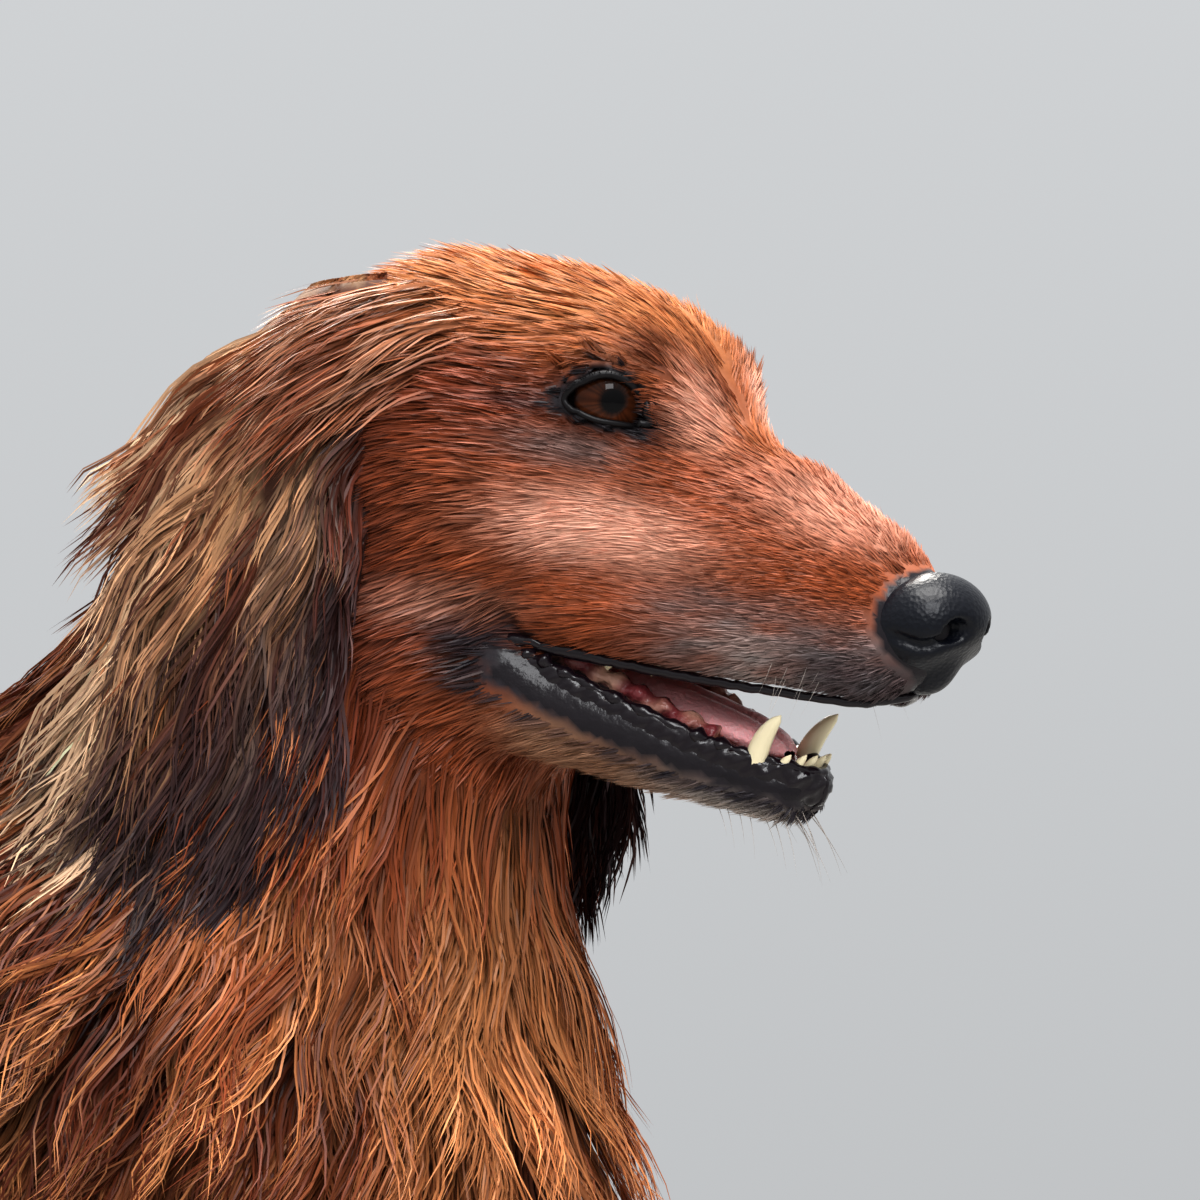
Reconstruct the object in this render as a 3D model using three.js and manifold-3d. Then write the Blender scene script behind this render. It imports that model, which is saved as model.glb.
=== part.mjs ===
// A long-haired dachshund, life-size and still, standing on four legs with its mouth open and its head turned
// a little to its right. Millimetres, +Z up, the body faces +X, and the soles rest on Z = 0.
// Each node of flesh is cut from one smooth body, and the long coat grows on it as flat, tapered locks.
import * as THREE from 'three';
import { mergeVertices } from 'three/addons/utils/BufferGeometryUtils.js';
import Module from 'manifold-3d';

// Driving dimensions
const WITHERS = 250; // height of the back at the shoulders, over the coat
const BRISKET = 86; // clearance of the breastbone above the floor
const EYE_HEIGHT = 339; // height of the inner corners of the eyes
const HEAD_AHEAD = 133; // how far the inner corners of the eyes are ahead of the shoulders
const HEAD_PITCH = 12; // degrees that the muzzle points down
const HEAD_TURN = 11; // degrees that the head is turned to the animal's right
const GAP = 0.35; // what neighbouring nodes keep between them
const SHARPEST = 0.2; // sine of half the sharpest edge that is cleared in full
const CLEAR = 0.5; // what a lock is cut clear of another node by

const DEG = Math.PI / 180;
const wasm = await Module();
wasm.setup();

// Vectors as plain lists
const plus = (a, b, s = 1) => [a[0] + b[0] * s, a[1] + b[1] * s, a[2] + b[2] * s];
const minus = (a, b) => plus(a, b, -1);
const times = (a, s) => [a[0] * s, a[1] * s, a[2] * s];
const dot = (a, b) => a[0] * b[0] + a[1] * b[1] + a[2] * b[2];
const unit = (a) => times(a, 1 / Math.hypot(...a));
const mix = (a, b, t) => a + (b - a) * t;
const mixed = (a, b, t) => a.map((v, i) => mix(v, b[i], t));
const cross = (a, b) => [
  a[1] * b[2] - a[2] * b[1],
  a[2] * b[0] - a[0] * b[2],
  a[0] * b[1] - a[1] * b[0],
];
const flip = (p) => [p[0], -p[1], p[2]];

// A seeded draw, so that the coat is the same each time
function draws(seed) {
  let state = seed;
  return () => {
    state = (state * 1664525 + 1013904223) >>> 0;
    return state / 4294967296;
  };
}

// Fields: each gives a rough signed distance to a form, negative inside
const ball = (at, size) => (p) => {
  const q = minus(p, at);
  const near = Math.hypot(q[0] / size[0], q[1] / size[1], q[2] / size[2]);
  const slope = Math.hypot(q[0] / size[0] ** 2, q[1] / size[1] ** 2, q[2] / size[2] ** 2);
  return slope > 0 ? (near * (near - 1)) / slope : -Math.min(...size);
};
const limb = (...stations) => (p) => {
  let best = Infinity;
  for (let i = 0; i + 1 < stations.length; i += 1) {
    const [a, b] = [stations[i], stations[i + 1]];
    const along = minus(b, a);
    const t = Math.min(1, Math.max(0, dot(minus(p, a), along) / dot(along, along)));
    best = Math.min(best, Math.hypot(...minus(p, plus(a, along, t))) - mix(a[3], b[3], t));
  }
  return best;
};
const smoothMin = (a, b, k) => {
  const h = Math.max(k - Math.abs(a - b), 0) / k;
  return Math.min(a, b) - (h * h * k) / 4;
};
const blend = (k, ...fields) => (p) => fields.reduce((d, f) => smoothMin(d, f(p), k), 1e3);
const carve = (k, body, cutter) => (p) => -smoothMin(-body(p), cutter(p), k);
const bothSides = (field) => (p) => field([p[0], Math.abs(p[1]), p[2]]);
const rightSide = (field) => (p) => field(flip(p));

// The head's own frame: origin between the inner corners of the eyes, +X to the nose, +Z to the crown
const headMatrix = new THREE.Matrix4()
  .makeTranslation(HEAD_AHEAD, -12, EYE_HEIGHT)
  .multiply(new THREE.Matrix4().makeRotationZ(-HEAD_TURN * DEG))
  .multiply(new THREE.Matrix4().makeRotationY(HEAD_PITCH * DEG));
const headInverse = headMatrix.clone().invert();
const through = (matrix) => (p) => new THREE.Vector3(...p).applyMatrix4(matrix).toArray();
const toWorld = through(headMatrix);
const m = headInverse.elements;
const toHead = (p) => [
  m[0] * p[0] + m[4] * p[1] + m[8] * p[2] + m[12],
  m[1] * p[0] + m[5] * p[1] + m[9] * p[2] + m[13],
  m[2] * p[0] + m[6] * p[1] + m[10] * p[2] + m[14],
];
const turnToWorld = (d) => minus(toWorld(d), toWorld([0, 0, 0]));

// The head in its own frame
const EYE = { at: [-16.5, 21.5, 4.5], radius: 11.5, looks: unit([0.62, 0.78, 0.03]) };
const skull = blend(
  16,
  ball([-62, 0, -6], [47, 42, 38]),
  ball([-25, 0, -3], [36, 33, 33]),
  bothSides(ball([-46, 29, -26], [36, 17, 27])),
  limb([0, 0, -26, 28], [25, 0, -27, 26], [48, 0, -31, 21], [66, 0, -35, 15.5]),
);
const brows = bothSides(ball([-11, 18, 9], [12, 9.5, 10]));
const upperLips = bothSides(limb([-14, 23, -46, 11], [28, 15, -45, 10.5], [60, 8, -44, 9.5]));
const mouthHollow = limb([-16, 0, -61, 16], [20, 0, -58, 14], [50, 0, -57, 9]);
const orbits = bothSides(ball([-4, 32, 3], [11, 8, 7]));
const upperHead = carve(
  4,
  carve(5, blend(9, skull, brows, upperLips), mouthHollow),
  orbits,
);
const jaw = blend(
  8,
  bothSides(limb([-52, 27, -58, 18], [-18, 20, -71, 13.5], [20, 12, -77, 9.5], [42, 5, -79, 7.5])),
  limb([-40, 0, -70, 17], [0, 0, -79, 7], [38, 0, -80, 6]),
);
const head = blend(7, upperHead, jaw);

// The trunk, neck, tail and legs, with the animal's left side as +Y
const midRib = (WITHERS + BRISKET) / 2;
const trunk = blend(
  30,
  ball([8, 0, midRib - 8], [84, 57, 74]),
  ball([-70, 0, midRib], [108, 62, (WITHERS - BRISKET) / 2]),
  ball([-190, 0, midRib + 10], [122, 54, 63]),
  ball([-298, 0, midRib + 14], [74, 56, 61]),
  bothSides(ball([-12, 44, midRib + 2], [46, 23, 62])),
  bothSides(ball([-292, 38, midRib - 14], [58, 28, 62])),
);
const neck = blend(
  24,
  limb([26, 0, 200, 62], [36, 0, 250, 53], [46, 0, 295, 47], [56, -3, 328, 42]),
  limb([-66, 0, 206, 44], [-2, 0, 262, 43], [40, 0, 318, 40]),
);
const TAIL = [
  [-352, 0, 218, 21],
  [-400, 0, 203, 15],
  [-450, 2, 176, 11.5],
  [-500, 6, 152, 9],
  [-545, 12, 143, 6],
];
const tailField = limb(...TAIL);
const FORE = { elbow: [-20, 50, 122], wrist: [16, 43, 50], toes: [36, 46, 14] };
const HIND = { hip: [-292, 40, 150], knee: [-262, 52, 112], hock: [-346, 46, 70], toes: [-318, 48, 13] };
const HIND_STEP = 18; // how far the right hind foot stands behind the left one
const foreLeg = blend(
  12,
  limb([...FORE.elbow, 25], [-2, 46, 84, 17], [...FORE.wrist, 14.5]),
  limb([...FORE.wrist, 14.5], [22, 44, 26, 15]),
);
const hindLeg = blend(
  14,
  limb([...HIND.hip, 38], [...HIND.knee, 28], [-300, 50, 94, 20], [...HIND.hock, 13.5]),
  limb([...HIND.hock, 13.5], [-334, 46, 24, 14]),
);
const TOES = [[-13.5, -3, 8], [-5, 5, 9], [5, 5, 9], [13.5, -3, 8]];
const paw = ([x, y], size) => blend(
  5,
  ball([x - 13, y, 13], [21 * size, 18 * size, 15 * size]),
  ...TOES.map(([side, ahead, r]) => ball(
    [x + ahead * size, y + side * size, 9],
    [(r + 5) * size, (r - 1.4) * size, r + 2.5],
  )),
);
const stepped = (field, back) => (p) => field([p[0] + back, p[1], p[2]]);
const legs = {
  foreleg_left: { top: foreLeg, foot: paw(FORE.toes, 1.02), toes: FORE.toes },
  foreleg_right: { top: rightSide(foreLeg), foot: rightSide(paw(FORE.toes, 1.02)), toes: flip(FORE.toes) },
  hindleg_left: { top: hindLeg, foot: paw(HIND.toes, 0.92), toes: HIND.toes },
  hindleg_right: {
    top: rightSide(stepped(hindLeg, HIND_STEP)),
    foot: rightSide(stepped(paw(HIND.toes, 0.92), HIND_STEP)),
    toes: plus(flip(HIND.toes), [-HIND_STEP, 0, 0]),
  },
};
const legFields = Object.values(legs).map((l) => blend(8, l.top, l.foot));
const headPlaced = (p) => head(toHead(p));
const flesh = (p) => {
  const body = blend(18, blend(26, trunk, neck), tailField, ...legFields)(p);
  return smoothMin(body, headPlaced(p), 14);
};

// Surfaces and solids

// The corners and edges of one cell of a grid, and the patterns of inner corners that would pinch its surface
const corners = [0, 1].flatMap((a) => [0, 1].flatMap((b) => [0, 1].map((c) => [a, b, c])));
const cellEdges = corners.flatMap((a, i) => corners.map((b, j) => [i, j])
  .filter(([, j]) => j > i && Math.abs(a[0] - corners[j][0]) + Math.abs(a[1] - corners[j][1])
    + Math.abs(a[2] - corners[j][2]) === 1));
const cellFaces = [0, 1, 2].flatMap((axis) => [0, 1].map((side) => corners
  .reduce((mask, c, i) => (c[axis] === side ? mask + 2 ** i : mask), 0)));
const hangsTogether = (mask) => {
  let reached = mask & -mask;
  for (let turn = 0; turn < corners.length; turn += 1) {
    for (const [a, b] of cellEdges) {
      const both = 2 ** a + 2 ** b;
      if ((mask & both) === both && (reached & both)) reached |= both;
    }
  }
  return reached === mask;
};
const pinched = Array.from({ length: 256 }, (_, mask) => !hangsTogether(mask) || !hangsTogether(255 - mask)
  || cellFaces.some((face) => !hangsTogether(mask & face)));

// Turns the zero level of a field into one closed mesh made of cells of one size
function polygonise(field, low, high, cell) {
  const count = low.map((v, i) => Math.ceil((high[i] - v) / cell) + 1);
  const index = (i, j, k) => (i * count[1] + j) * count[2] + k;
  const value = new Float32Array(count[0] * count[1] * count[2]);
  const place = (i, j, k) => [low[0] + i * cell, low[1] + j * cell, low[2] + k * cell];
  const eachPoint = (less, work) => {
    for (let i = 0; i + less < count[0]; i += 1) {
      for (let j = 0; j + less < count[1]; j += 1) {
        for (let k = 0; k + less < count[2]; k += 1) work(i, j, k);
      }
    }
  };
  eachPoint(0, (i, j, k) => {
    const rim = [i, j, k].some((n, axis) => n === 0 || n === count[axis] - 1);
    const d = field(place(i, j, k));
    value[index(i, j, k)] = rim ? Math.max(d, cell / 4) : d;
  });
  const indexOf = (i, j, k) => (c) => index(i + c[0], j + c[1], k + c[2]);
  for (let changed = true; changed;) {
    changed = false;
    eachPoint(1, (i, j, k) => {
      const ids = corners.map(indexOf(i, j, k));
      const inner = ids.filter((id) => value[id] < 0);
      if (!pinched[ids.reduce((mask, id, n) => (value[id] < 0 ? mask + 2 ** n : mask), 0)]) return;
      const weakest = inner.reduce((a, b) => (value[b] > value[a] ? b : a));
      value[weakest] = cell / 20;
      changed = true;
    });
  }
  const vertexOf = new Map();
  const points = [];
  eachPoint(1, (i, j, k) => {
    const at = corners.map((c) => value[indexOf(i, j, k)(c)]);
    const crossings = cellEdges.filter(([a, b]) => at[a] < 0 !== at[b] < 0).map(([a, b]) => mixed(
      place(...plus([i, j, k], corners[a])),
      place(...plus([i, j, k], corners[b])),
      at[a] / (at[a] - at[b]),
    ));
    if (!crossings.length) return;
    vertexOf.set(index(i, j, k), points.length);
    points.push(settle(field, times(crossings.reduce((a, b) => plus(a, b)), 1 / crossings.length), cell / 3));
  });
  const faces = [];
  const axes = [[1, 0, 0], [0, 1, 0], [0, 0, 1]];
  eachPoint(0, (i, j, k) => axes.forEach((step, axis) => {
    const far = plus([i, j, k], step);
    if (far[axis] === count[axis]) return;
    const here = value[index(i, j, k)] < 0;
    if (here === value[index(...far)] < 0) return;
    const [u, v] = [axes[(axis + 1) % 3], axes[(axis + 2) % 3]];
    const ring = [[1, 1], [0, 1], [0, 0], [1, 0]]
      .map(([s, t]) => vertexOf.get(index(...minus(minus([i, j, k], times(u, s)), times(v, t)))));
    if (!here) ring.reverse();
    const span = (s, t) => Math.hypot(...minus(points[ring[s]], points[ring[t]]));
    const order = span(0, 2) <= span(1, 3) ? [0, 1, 2, 0, 2, 3] : [1, 2, 3, 1, 3, 0];
    faces.push(...order.map((n) => ring[n]));
  }));
  return solidFrom(points, faces);
}

// Moves a point onto the zero level of a field, by no more than a limit
function settle(field, point, limit) {
  let p = point;
  for (let turn = 0; turn < 2; turn += 1) {
    const d = field(p);
    const slope = gradient(field, p);
    const size = dot(slope, slope);
    if (size < 1e-6) return p;
    const step = Math.max(-limit, Math.min(limit, -d / Math.sqrt(size)));
    p = plus(p, slope, step / Math.sqrt(size));
  }
  return p;
}

function gradient(field, p) {
  const e = 0.4;
  return [[e, 0, 0], [0, e, 0], [0, 0, e]].map((s) => (field(plus(p, s)) - field(minus(p, s))) / (2 * e));
}

function solidFrom(points, faces) {
  return new wasm.Manifold(new wasm.Mesh({
    numProp: 3,
    vertProperties: new Float32Array(points.flat()),
    triVerts: new Uint32Array(faces),
  }));
}

function solidOf(geometry) {
  const plain = geometry.clone();
  plain.deleteAttribute('normal');
  plain.deleteAttribute('uv');
  const merged = mergeVertices(plain, 1e-3);
  return new wasm.Manifold(new wasm.Mesh({
    numProp: 3,
    vertProperties: new Float32Array(merged.attributes.position.array),
    triVerts: new Uint32Array(merged.index.array),
  }));
}

// The same solid, larger all round: each vertex moves out so far that all its faces move by at least a distance
function swollen(solid, by) {
  const body = solid.getMesh();
  const at = (v) => Array.from(body.vertProperties.subarray(v * body.numProp, v * body.numProp + 3));
  const points = Array.from({ length: body.numVert }, (_, v) => at(v));
  const normals = points.map(() => []);
  for (let t = 0; t < body.triVerts.length; t += 3) {
    const [a, b, c] = body.triVerts.subarray(t, t + 3);
    const across = cross(minus(points[b], points[a]), minus(points[c], points[a]));
    if (Math.hypot(...across) > 1e-9) [a, b, c].forEach((v) => normals[v].push(unit(across)));
  }
  const moved = points.map((point, v) => {
    const way = unit(normals[v].reduce((sum, n) => plus(sum, n), [0, 0, 1e-9]));
    const least = Math.min(1, ...normals[v].map((n) => dot(n, way)));
    return plus(point, way, by / Math.max(least, SHARPEST));
  });
  return solidFrom(moved, Array.from(body.triVerts));
}

// A closed form through rings of points, each ring turning the same way, with a point at one or both ends
function loft(rings, tip, base) {
  const sides = rings[0].length;
  const points = rings.flat();
  const faces = [];
  for (let r = 0; r + 1 < rings.length; r += 1) {
    for (let s = 0; s < sides; s += 1) {
      const [a, b] = [r * sides + s, r * sides + ((s + 1) % sides)];
      faces.push(a, b, b + sides, a, b + sides, a + sides);
    }
  }
  const close = (ring, point, outward) => {
    const centre = point ?? times(rings[ring].reduce((a, b) => plus(a, b)), 1 / sides);
    points.push(centre);
    for (let s = 0; s < sides; s += 1) {
      const [a, b] = [ring * sides + s, ring * sides + ((s + 1) % sides)];
      faces.push(...(outward ? [a, b, points.length - 1] : [b, a, points.length - 1]));
    }
  };
  close(0, base, false);
  close(rings.length - 1, tip, true);
  const made = solidFrom(points, faces);
  return made.volume() > 0 ? made : solidFrom(points, faces.reverse());
}

// Everything on the side of a plane that its normal points to
function beyond(point, normal) {
  const reach = 1600;
  const box = new THREE.BoxGeometry(reach, reach, reach).translate(0, 0, reach / 2);
  const turn = new THREE.Quaternion().setFromUnitVectors(
    new THREE.Vector3(0, 0, 1),
    new THREE.Vector3(...unit(normal)),
  );
  box.applyMatrix4(new THREE.Matrix4().compose(
    new THREE.Vector3(...point),
    turn,
    new THREE.Vector3(1, 1, 1),
  ));
  return solidOf(box);
}

function boxSolid(low, high) {
  const size = minus(high, low);
  return solidOf(new THREE.BoxGeometry(...size).translate(...mixed(low, high, 0.5)));
}

function largest(solid) {
  const bodies = solid.decompose();
  return bodies.reduce((a, b) => (b.volume() > a.volume() ? b : a));
}

// Locks of hair

// The width of a lock along its length, as a share of its full width
const lockShape = (s) => (0.75 + 0.75 * s) * (1 - s) ** 0.6;

// The foot of a lock: the nearest point of the body to a given point, and the way out of it there
function footOn(field, near) {
  let at = near;
  for (let turn = 0; turn < 3; turn += 1) at = settle(field, at, 40);
  return { at, out: unit(gradient(field, at)) };
}

// A flat, tapered lock with a ridge: it leaves the body, bends along its lie, hangs, and rests on the body
function lock(foot, style) {
  const { lie, length, width, thick = 4, lift = 0.3, droop = 0.2, ride = 3, steps = 4, sink = 7 } = style;
  const { out } = foot;
  let heading = unit(plus(plus(unit(lie), out, -dot(unit(lie), out)), out, lift));
  let centre = plus(plus(foot.at, out, -sink), heading, -sink * 0.3);
  const stride = (length + sink) / steps;
  const rings = [];
  for (let i = 0; i < steps; i += 1) {
    const s = i / steps;
    const side = unit(cross(heading, out));
    const up = unit(cross(side, heading));
    const half = (width * lockShape(s)) / 2;
    const high = thick * (1 - 0.55 * s);
    rings.push([
      plus(plus(centre, side, half), up, -high * 0.3),
      plus(centre, up, high * 0.7),
      plus(plus(centre, side, -half), up, -high * 0.3),
    ]);
    centre = plus(centre, heading, stride);
    const above = flesh(centre);
    if (i > 0 && above < ride) centre = plus(centre, unit(gradient(flesh, centre)), ride - above);
    heading = unit(plus(heading, [0, 0, -droop]));
  }
  return loft(rings, centre);
}

const union = (solids) => wasm.Manifold.union(solids);

// Where the nodes part
const neckTop = { at: toWorld([-66, 0, -39]), faces: turnToWorld(unit([-98, 0, -73])) };
const neckBase = { at: [16, 0, 207], faces: unit([87, 0, 150]) };
const tailRoot = { at: [-368, 0, 210], faces: unit([-1, 0, 0.35]) };
const ANKLE = 38; // height of the cut between a leg and its paw
const legBoxes = {
  foreleg_left: [[-56, 29, -5], [66, 95, 120]],
  foreleg_right: [[-56, -95, -5], [66, -29, 120]],
  hindleg_left: [[-385, 22, -5], [-222, 95, 146]],
  hindleg_right: [[-405, -95, -5], [-222, -22, 146]],
};
const boxOf = (name, by = 0) => {
  const [low, high] = legBoxes[name];
  return boxSolid(minus(low, [by, by, by]), plus(high, [by, by, by]));
};
// The wedge of the lower jaw: behind it the cheek, above it the open mouth
function jawWedge(by) {
  const outline = new THREE.Shape([
    new THREE.Vector2(-22 - by, -58 + by),
    new THREE.Vector2(80, -68 + by),
    new THREE.Vector2(80, -120),
    new THREE.Vector2(-10 - by, -120),
  ]);
  const wedge = new THREE.ExtrudeGeometry(outline, { depth: 120, bevelEnabled: false });
  wedge.translate(0, 0, -60).rotateX(Math.PI / 2);
  return solidOf(wedge.applyMatrix4(headMatrix));
}

// Parts, from cells of these sizes
const CELL = { nose: 3.7, head: 7.8, paw: 8.6, leg: 14, neck: 18, torso: 25 };
const made = {};

// Head and jaw
const headSide = beyond(plus(neckTop.at, neckTop.faces, -GAP / 2), times(neckTop.faces, -1));
const eyeBall = (side, by) => solidOf(new THREE.SphereGeometry(EYE.radius + by, 14, 8)
  .rotateX(Math.PI / 2)
  .translate(EYE.at[0], EYE.at[1] * side, EYE.at[2])
  .applyMatrix4(headMatrix));

// The opening between the lids: an almond-shaped plug along the way the eye looks
const LIDS = { half: 12.4, upper: 6.3, lower: 5.4, thick: 1.7 };
function lidOpening(side) {
  const looks = [EYE.looks[0], EYE.looks[1] * side, EYE.looks[2]];
  const across = unit(cross([0, 0, 1], looks));
  const up = cross(looks, across);
  const centre = [EYE.at[0], EYE.at[1] * side, EYE.at[2]];
  const outline = Array.from({ length: 12 }, (_, n) => {
    const a = (n / 12) * 2 * Math.PI;
    const high = Math.sin(a) > 0 ? LIDS.upper : LIDS.lower;
    return [Math.cos(a) * LIDS.half, Math.sin(a) * high * (1 - 0.25 * Math.cos(a) ** 2)];
  });
  return loft([4, 24].map((depth) => outline.map(([x, y]) => toWorld(
    plus(plus(plus(centre, looks, depth), across, x), up, y),
  ))));
}
const noseField = (p) => {
  const leather = blend(
    5,
    ball([73, 0, -30], [12, 12.5, 9.5]),
    bothSides(ball([70, 7.5, -33.5], [10.5, 6.5, 8])),
    ball([71, 0, -40], [8, 5.5, 7]),
  );
  const nostrils = bothSides(limb([87, 6, -31.5, 3.4], [78, 9.5, -33, 2.4], [70, 15.5, -34.5, 1.5]));
  return carve(1.5, leather, nostrils)(toHead(p));
};
made.nose = largest(polygonise(noseField, [180, -60, 272], [232, -8, 330], CELL.nose));
const headWhole = polygonise(flesh, [-10, -90, 226], [228, 80, 402], CELL.head).intersect(headSide);
made.jaw = headWhole.intersect(jawWedge(0));
made.head = union([
  headWhole.subtract(jawWedge(GAP)),
  eyeBall(1, LIDS.thick),
  eyeBall(-1, LIDS.thick),
])
  .subtract(lidOpening(1))
  .subtract(lidOpening(-1))
  .subtract(eyeBall(1, GAP))
  .subtract(eyeBall(-1, GAP))
  .subtract(swollen(made.nose, 2 * GAP));
made.eye_left = eyeBall(1, 0);
made.eye_right = eyeBall(-1, 0);

// Paws and legs
const footOf = (name) => name.replace('foreleg', 'front_paw').replace('hindleg', 'hind_paw');
for (const [name, leg] of Object.entries(legs)) {
  const foot = footOf(name);
  const [x, y] = leg.toes;
  const sole = boxSolid([x - 90, y - 60, 0], [x + 60, y + 60, ANKLE - GAP]);
  made[foot] = polygonise(flesh, [x - 60, y - 34, -8], [x + 34, y + 34, ANKLE + 12], CELL.paw).intersect(sole);
  const [low, high] = legBoxes[name];
  const shank = polygonise(flesh, minus(low, [20, 20, 0]), plus(high, [20, 20, 20]), CELL.leg);
  made[name] = shank.intersect(boxOf(name)).subtract(boxSolid([-600, -200, -50], [200, 200, ANKLE]));
}

// Claws, which grow out of the toes
function claw([x, y]) {
  const rings = [[-6, 13, 3], [3, 12, 2.6], [8, 8.5, 1.9]].map(([ahead, height, r]) => [0, 1, 2, 3].map((n) => [
    x + ahead,
    y + Math.cos((n * Math.PI) / 2) * r * 0.8,
    height + Math.sin((n * Math.PI) / 2) * r,
  ]));
  return loft(rings, [x + 10, y, 5]);
}
for (const [name, leg] of Object.entries(legs)) {
  const foot = footOf(name);
  const size = name.startsWith('fore') ? 1.02 : 0.92;
  const tips = TOES.map(([side, ahead]) => plus(leg.toes, [(ahead + 11) * size, side * size, 0]));
  made[foot] = union([made[foot], ...tips.map(claw)]);
}

// Tongue: it lies between the lower teeth and shows over them
const tongueRing = (x, z, half, high) => Array.from({ length: 8 }, (_, n) => {
  const a = (n / 8) * 2 * Math.PI;
  const dip = 1.2 * Math.max(0, Math.sin(a)) ** 6;
  return toWorld([x, Math.cos(a) * half, z + Math.sin(a) * high - dip]);
});
made.tongue = loft([
  tongueRing(-24, -64, 11, 3.2),
  tongueRing(-14, -64.5, 13.5, 4.6),
  tongueRing(2, -65.5, 13.5, 4.8),
  tongueRing(18, -67, 12, 4.6),
  tongueRing(31, -69, 10, 4),
  tongueRing(38, -70.5, 6.5, 2.6),
]);

// Teeth: [x, y, z of the root, x, y, z of the tip, thickness], all but the first of them on both sides
const lowerTeeth = [
  [37, 10.5, -78, 43.5, 13, -61.5, 4.6],
  [44, 2.2, -80, 47.5, 2.2, -71.5, 2.4],
  [42.5, 6.2, -80, 46, 6.8, -71.8, 2.6],
  [26, 12, -78, 28, 13, -70, 3.4],
  [14, 14.5, -78, 15, 15.5, -67.5, 4.2],
];
const upperTeeth = [
  [-4, 20, -46, -3.5, 19, -60, 5],
  [8, 18, -46, 8.5, 17, -58.5, 4],
];
function tooth([x, y, z, tipX, tipY, tipZ, thick], side) {
  const [root, tip] = [[x, y * side, z], [tipX, tipY * side, tipZ]];
  const axis = unit(minus(tip, root));
  const ahead = unit(cross([0, 1, 0], axis));
  const across = cross(axis, ahead);
  const rings = [[0, 1], [0.55, 0.92], [0.85, 0.55]].map(([s, share]) => [0, 1, 2, 3, 4].map((n) => {
    const a = (n / 5) * 2 * Math.PI;
    const spread = plus(times(ahead, Math.cos(a) * thick), across, Math.sin(a) * thick * 0.75);
    return toWorld(plus(plus(mixed(root, tip, s), spread, share / 2), ahead, -thick * 0.25 * s * (1 - s)));
  }));
  return loft(rings, toWorld(tip));
}
const bothSets = (teeth) => teeth.flatMap((t) => [tooth(t, 1), tooth(t, -1)]);
made.jaw = union([made.jaw, ...bothSets(lowerTeeth)]).subtract(swollen(made.tongue, GAP));
made.head = union([made.head, ...bothSets(upperTeeth)]).subtract(swollen(made.tongue, GAP));

// Ears: a hanging flap with a hollow inner side. Each station: drop below the root, way out, half-width
const EAR = [[-8, -9, 14], [6, 4, 23], [28, 13, 29], [54, 18, 31], [82, 20, 29], [104, 20, 22], [118, 19, 11]];
const EAR_CURL = 9;
const EAR_LEAN = { left: 0.06, right: -0.16 };
// A point of the flap: u from the root to the end, v from the back edge to the front, depth from its outside
function earPoint(hand, u, v, depth) {
  const side = hand === 'left' ? 1 : -1;
  const root = toWorld([-86, 42 * side, 12]);
  const step = Math.min(u, 0.9999) * (EAR.length - 1);
  const n = Math.floor(step);
  const [drop, out, half] = mixed(EAR[n], EAR[n + 1], step - n);
  return [
    root[0] + EAR_LEAN[hand] * drop + v * half,
    root[1] + side * (out - EAR_CURL * v * v - depth),
    root[2] - drop + 0.1 * v * half,
  ];
}
function earFlap(hand) {
  const outline = [[-1, 2], [-0.5, 0], [0, 0], [0.5, 0], [1, 2], [0.6, 5.5], [0, 7], [-0.6, 5.5]];
  const rings = EAR.map((_, n) => outline.map(([v, depth]) => earPoint(hand, n / (EAR.length - 1), v, depth)));
  return loft(rings);
}

// Torso, neck and tail
const torsoBlank = polygonise(flesh, [-420, -90, 60], [130, 90, 290], CELL.torso);
made.torso = Object.keys(legs).reduce(
  (solid, name) => solid.subtract(boxOf(name, GAP)),
  torsoBlank
    .subtract(beyond(plus(neckBase.at, neckBase.faces, -GAP), neckBase.faces))
    .subtract(beyond(plus(tailRoot.at, tailRoot.faces, -GAP), tailRoot.faces)),
);
made.neck = polygonise(flesh, [-90, -90, 150], [140, 90, 400], CELL.neck)
  .intersect(beyond(neckBase.at, neckBase.faces))
  .intersect(beyond(plus(neckTop.at, neckTop.faces, GAP), neckTop.faces));
const tailRing = ([x, y, z, r]) => Array.from({ length: 8 }, (_, n) => {
  const a = (n / 8) * 2 * Math.PI;
  return [x + Math.sin(a) * r * 0.4, y + Math.cos(a) * r, z + Math.sin(a) * r];
});
made.tail = loft([...TAIL.map(tailRing)], [-560, 14, 141]).intersect(beyond(tailRoot.at, tailRoot.faces));

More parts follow.
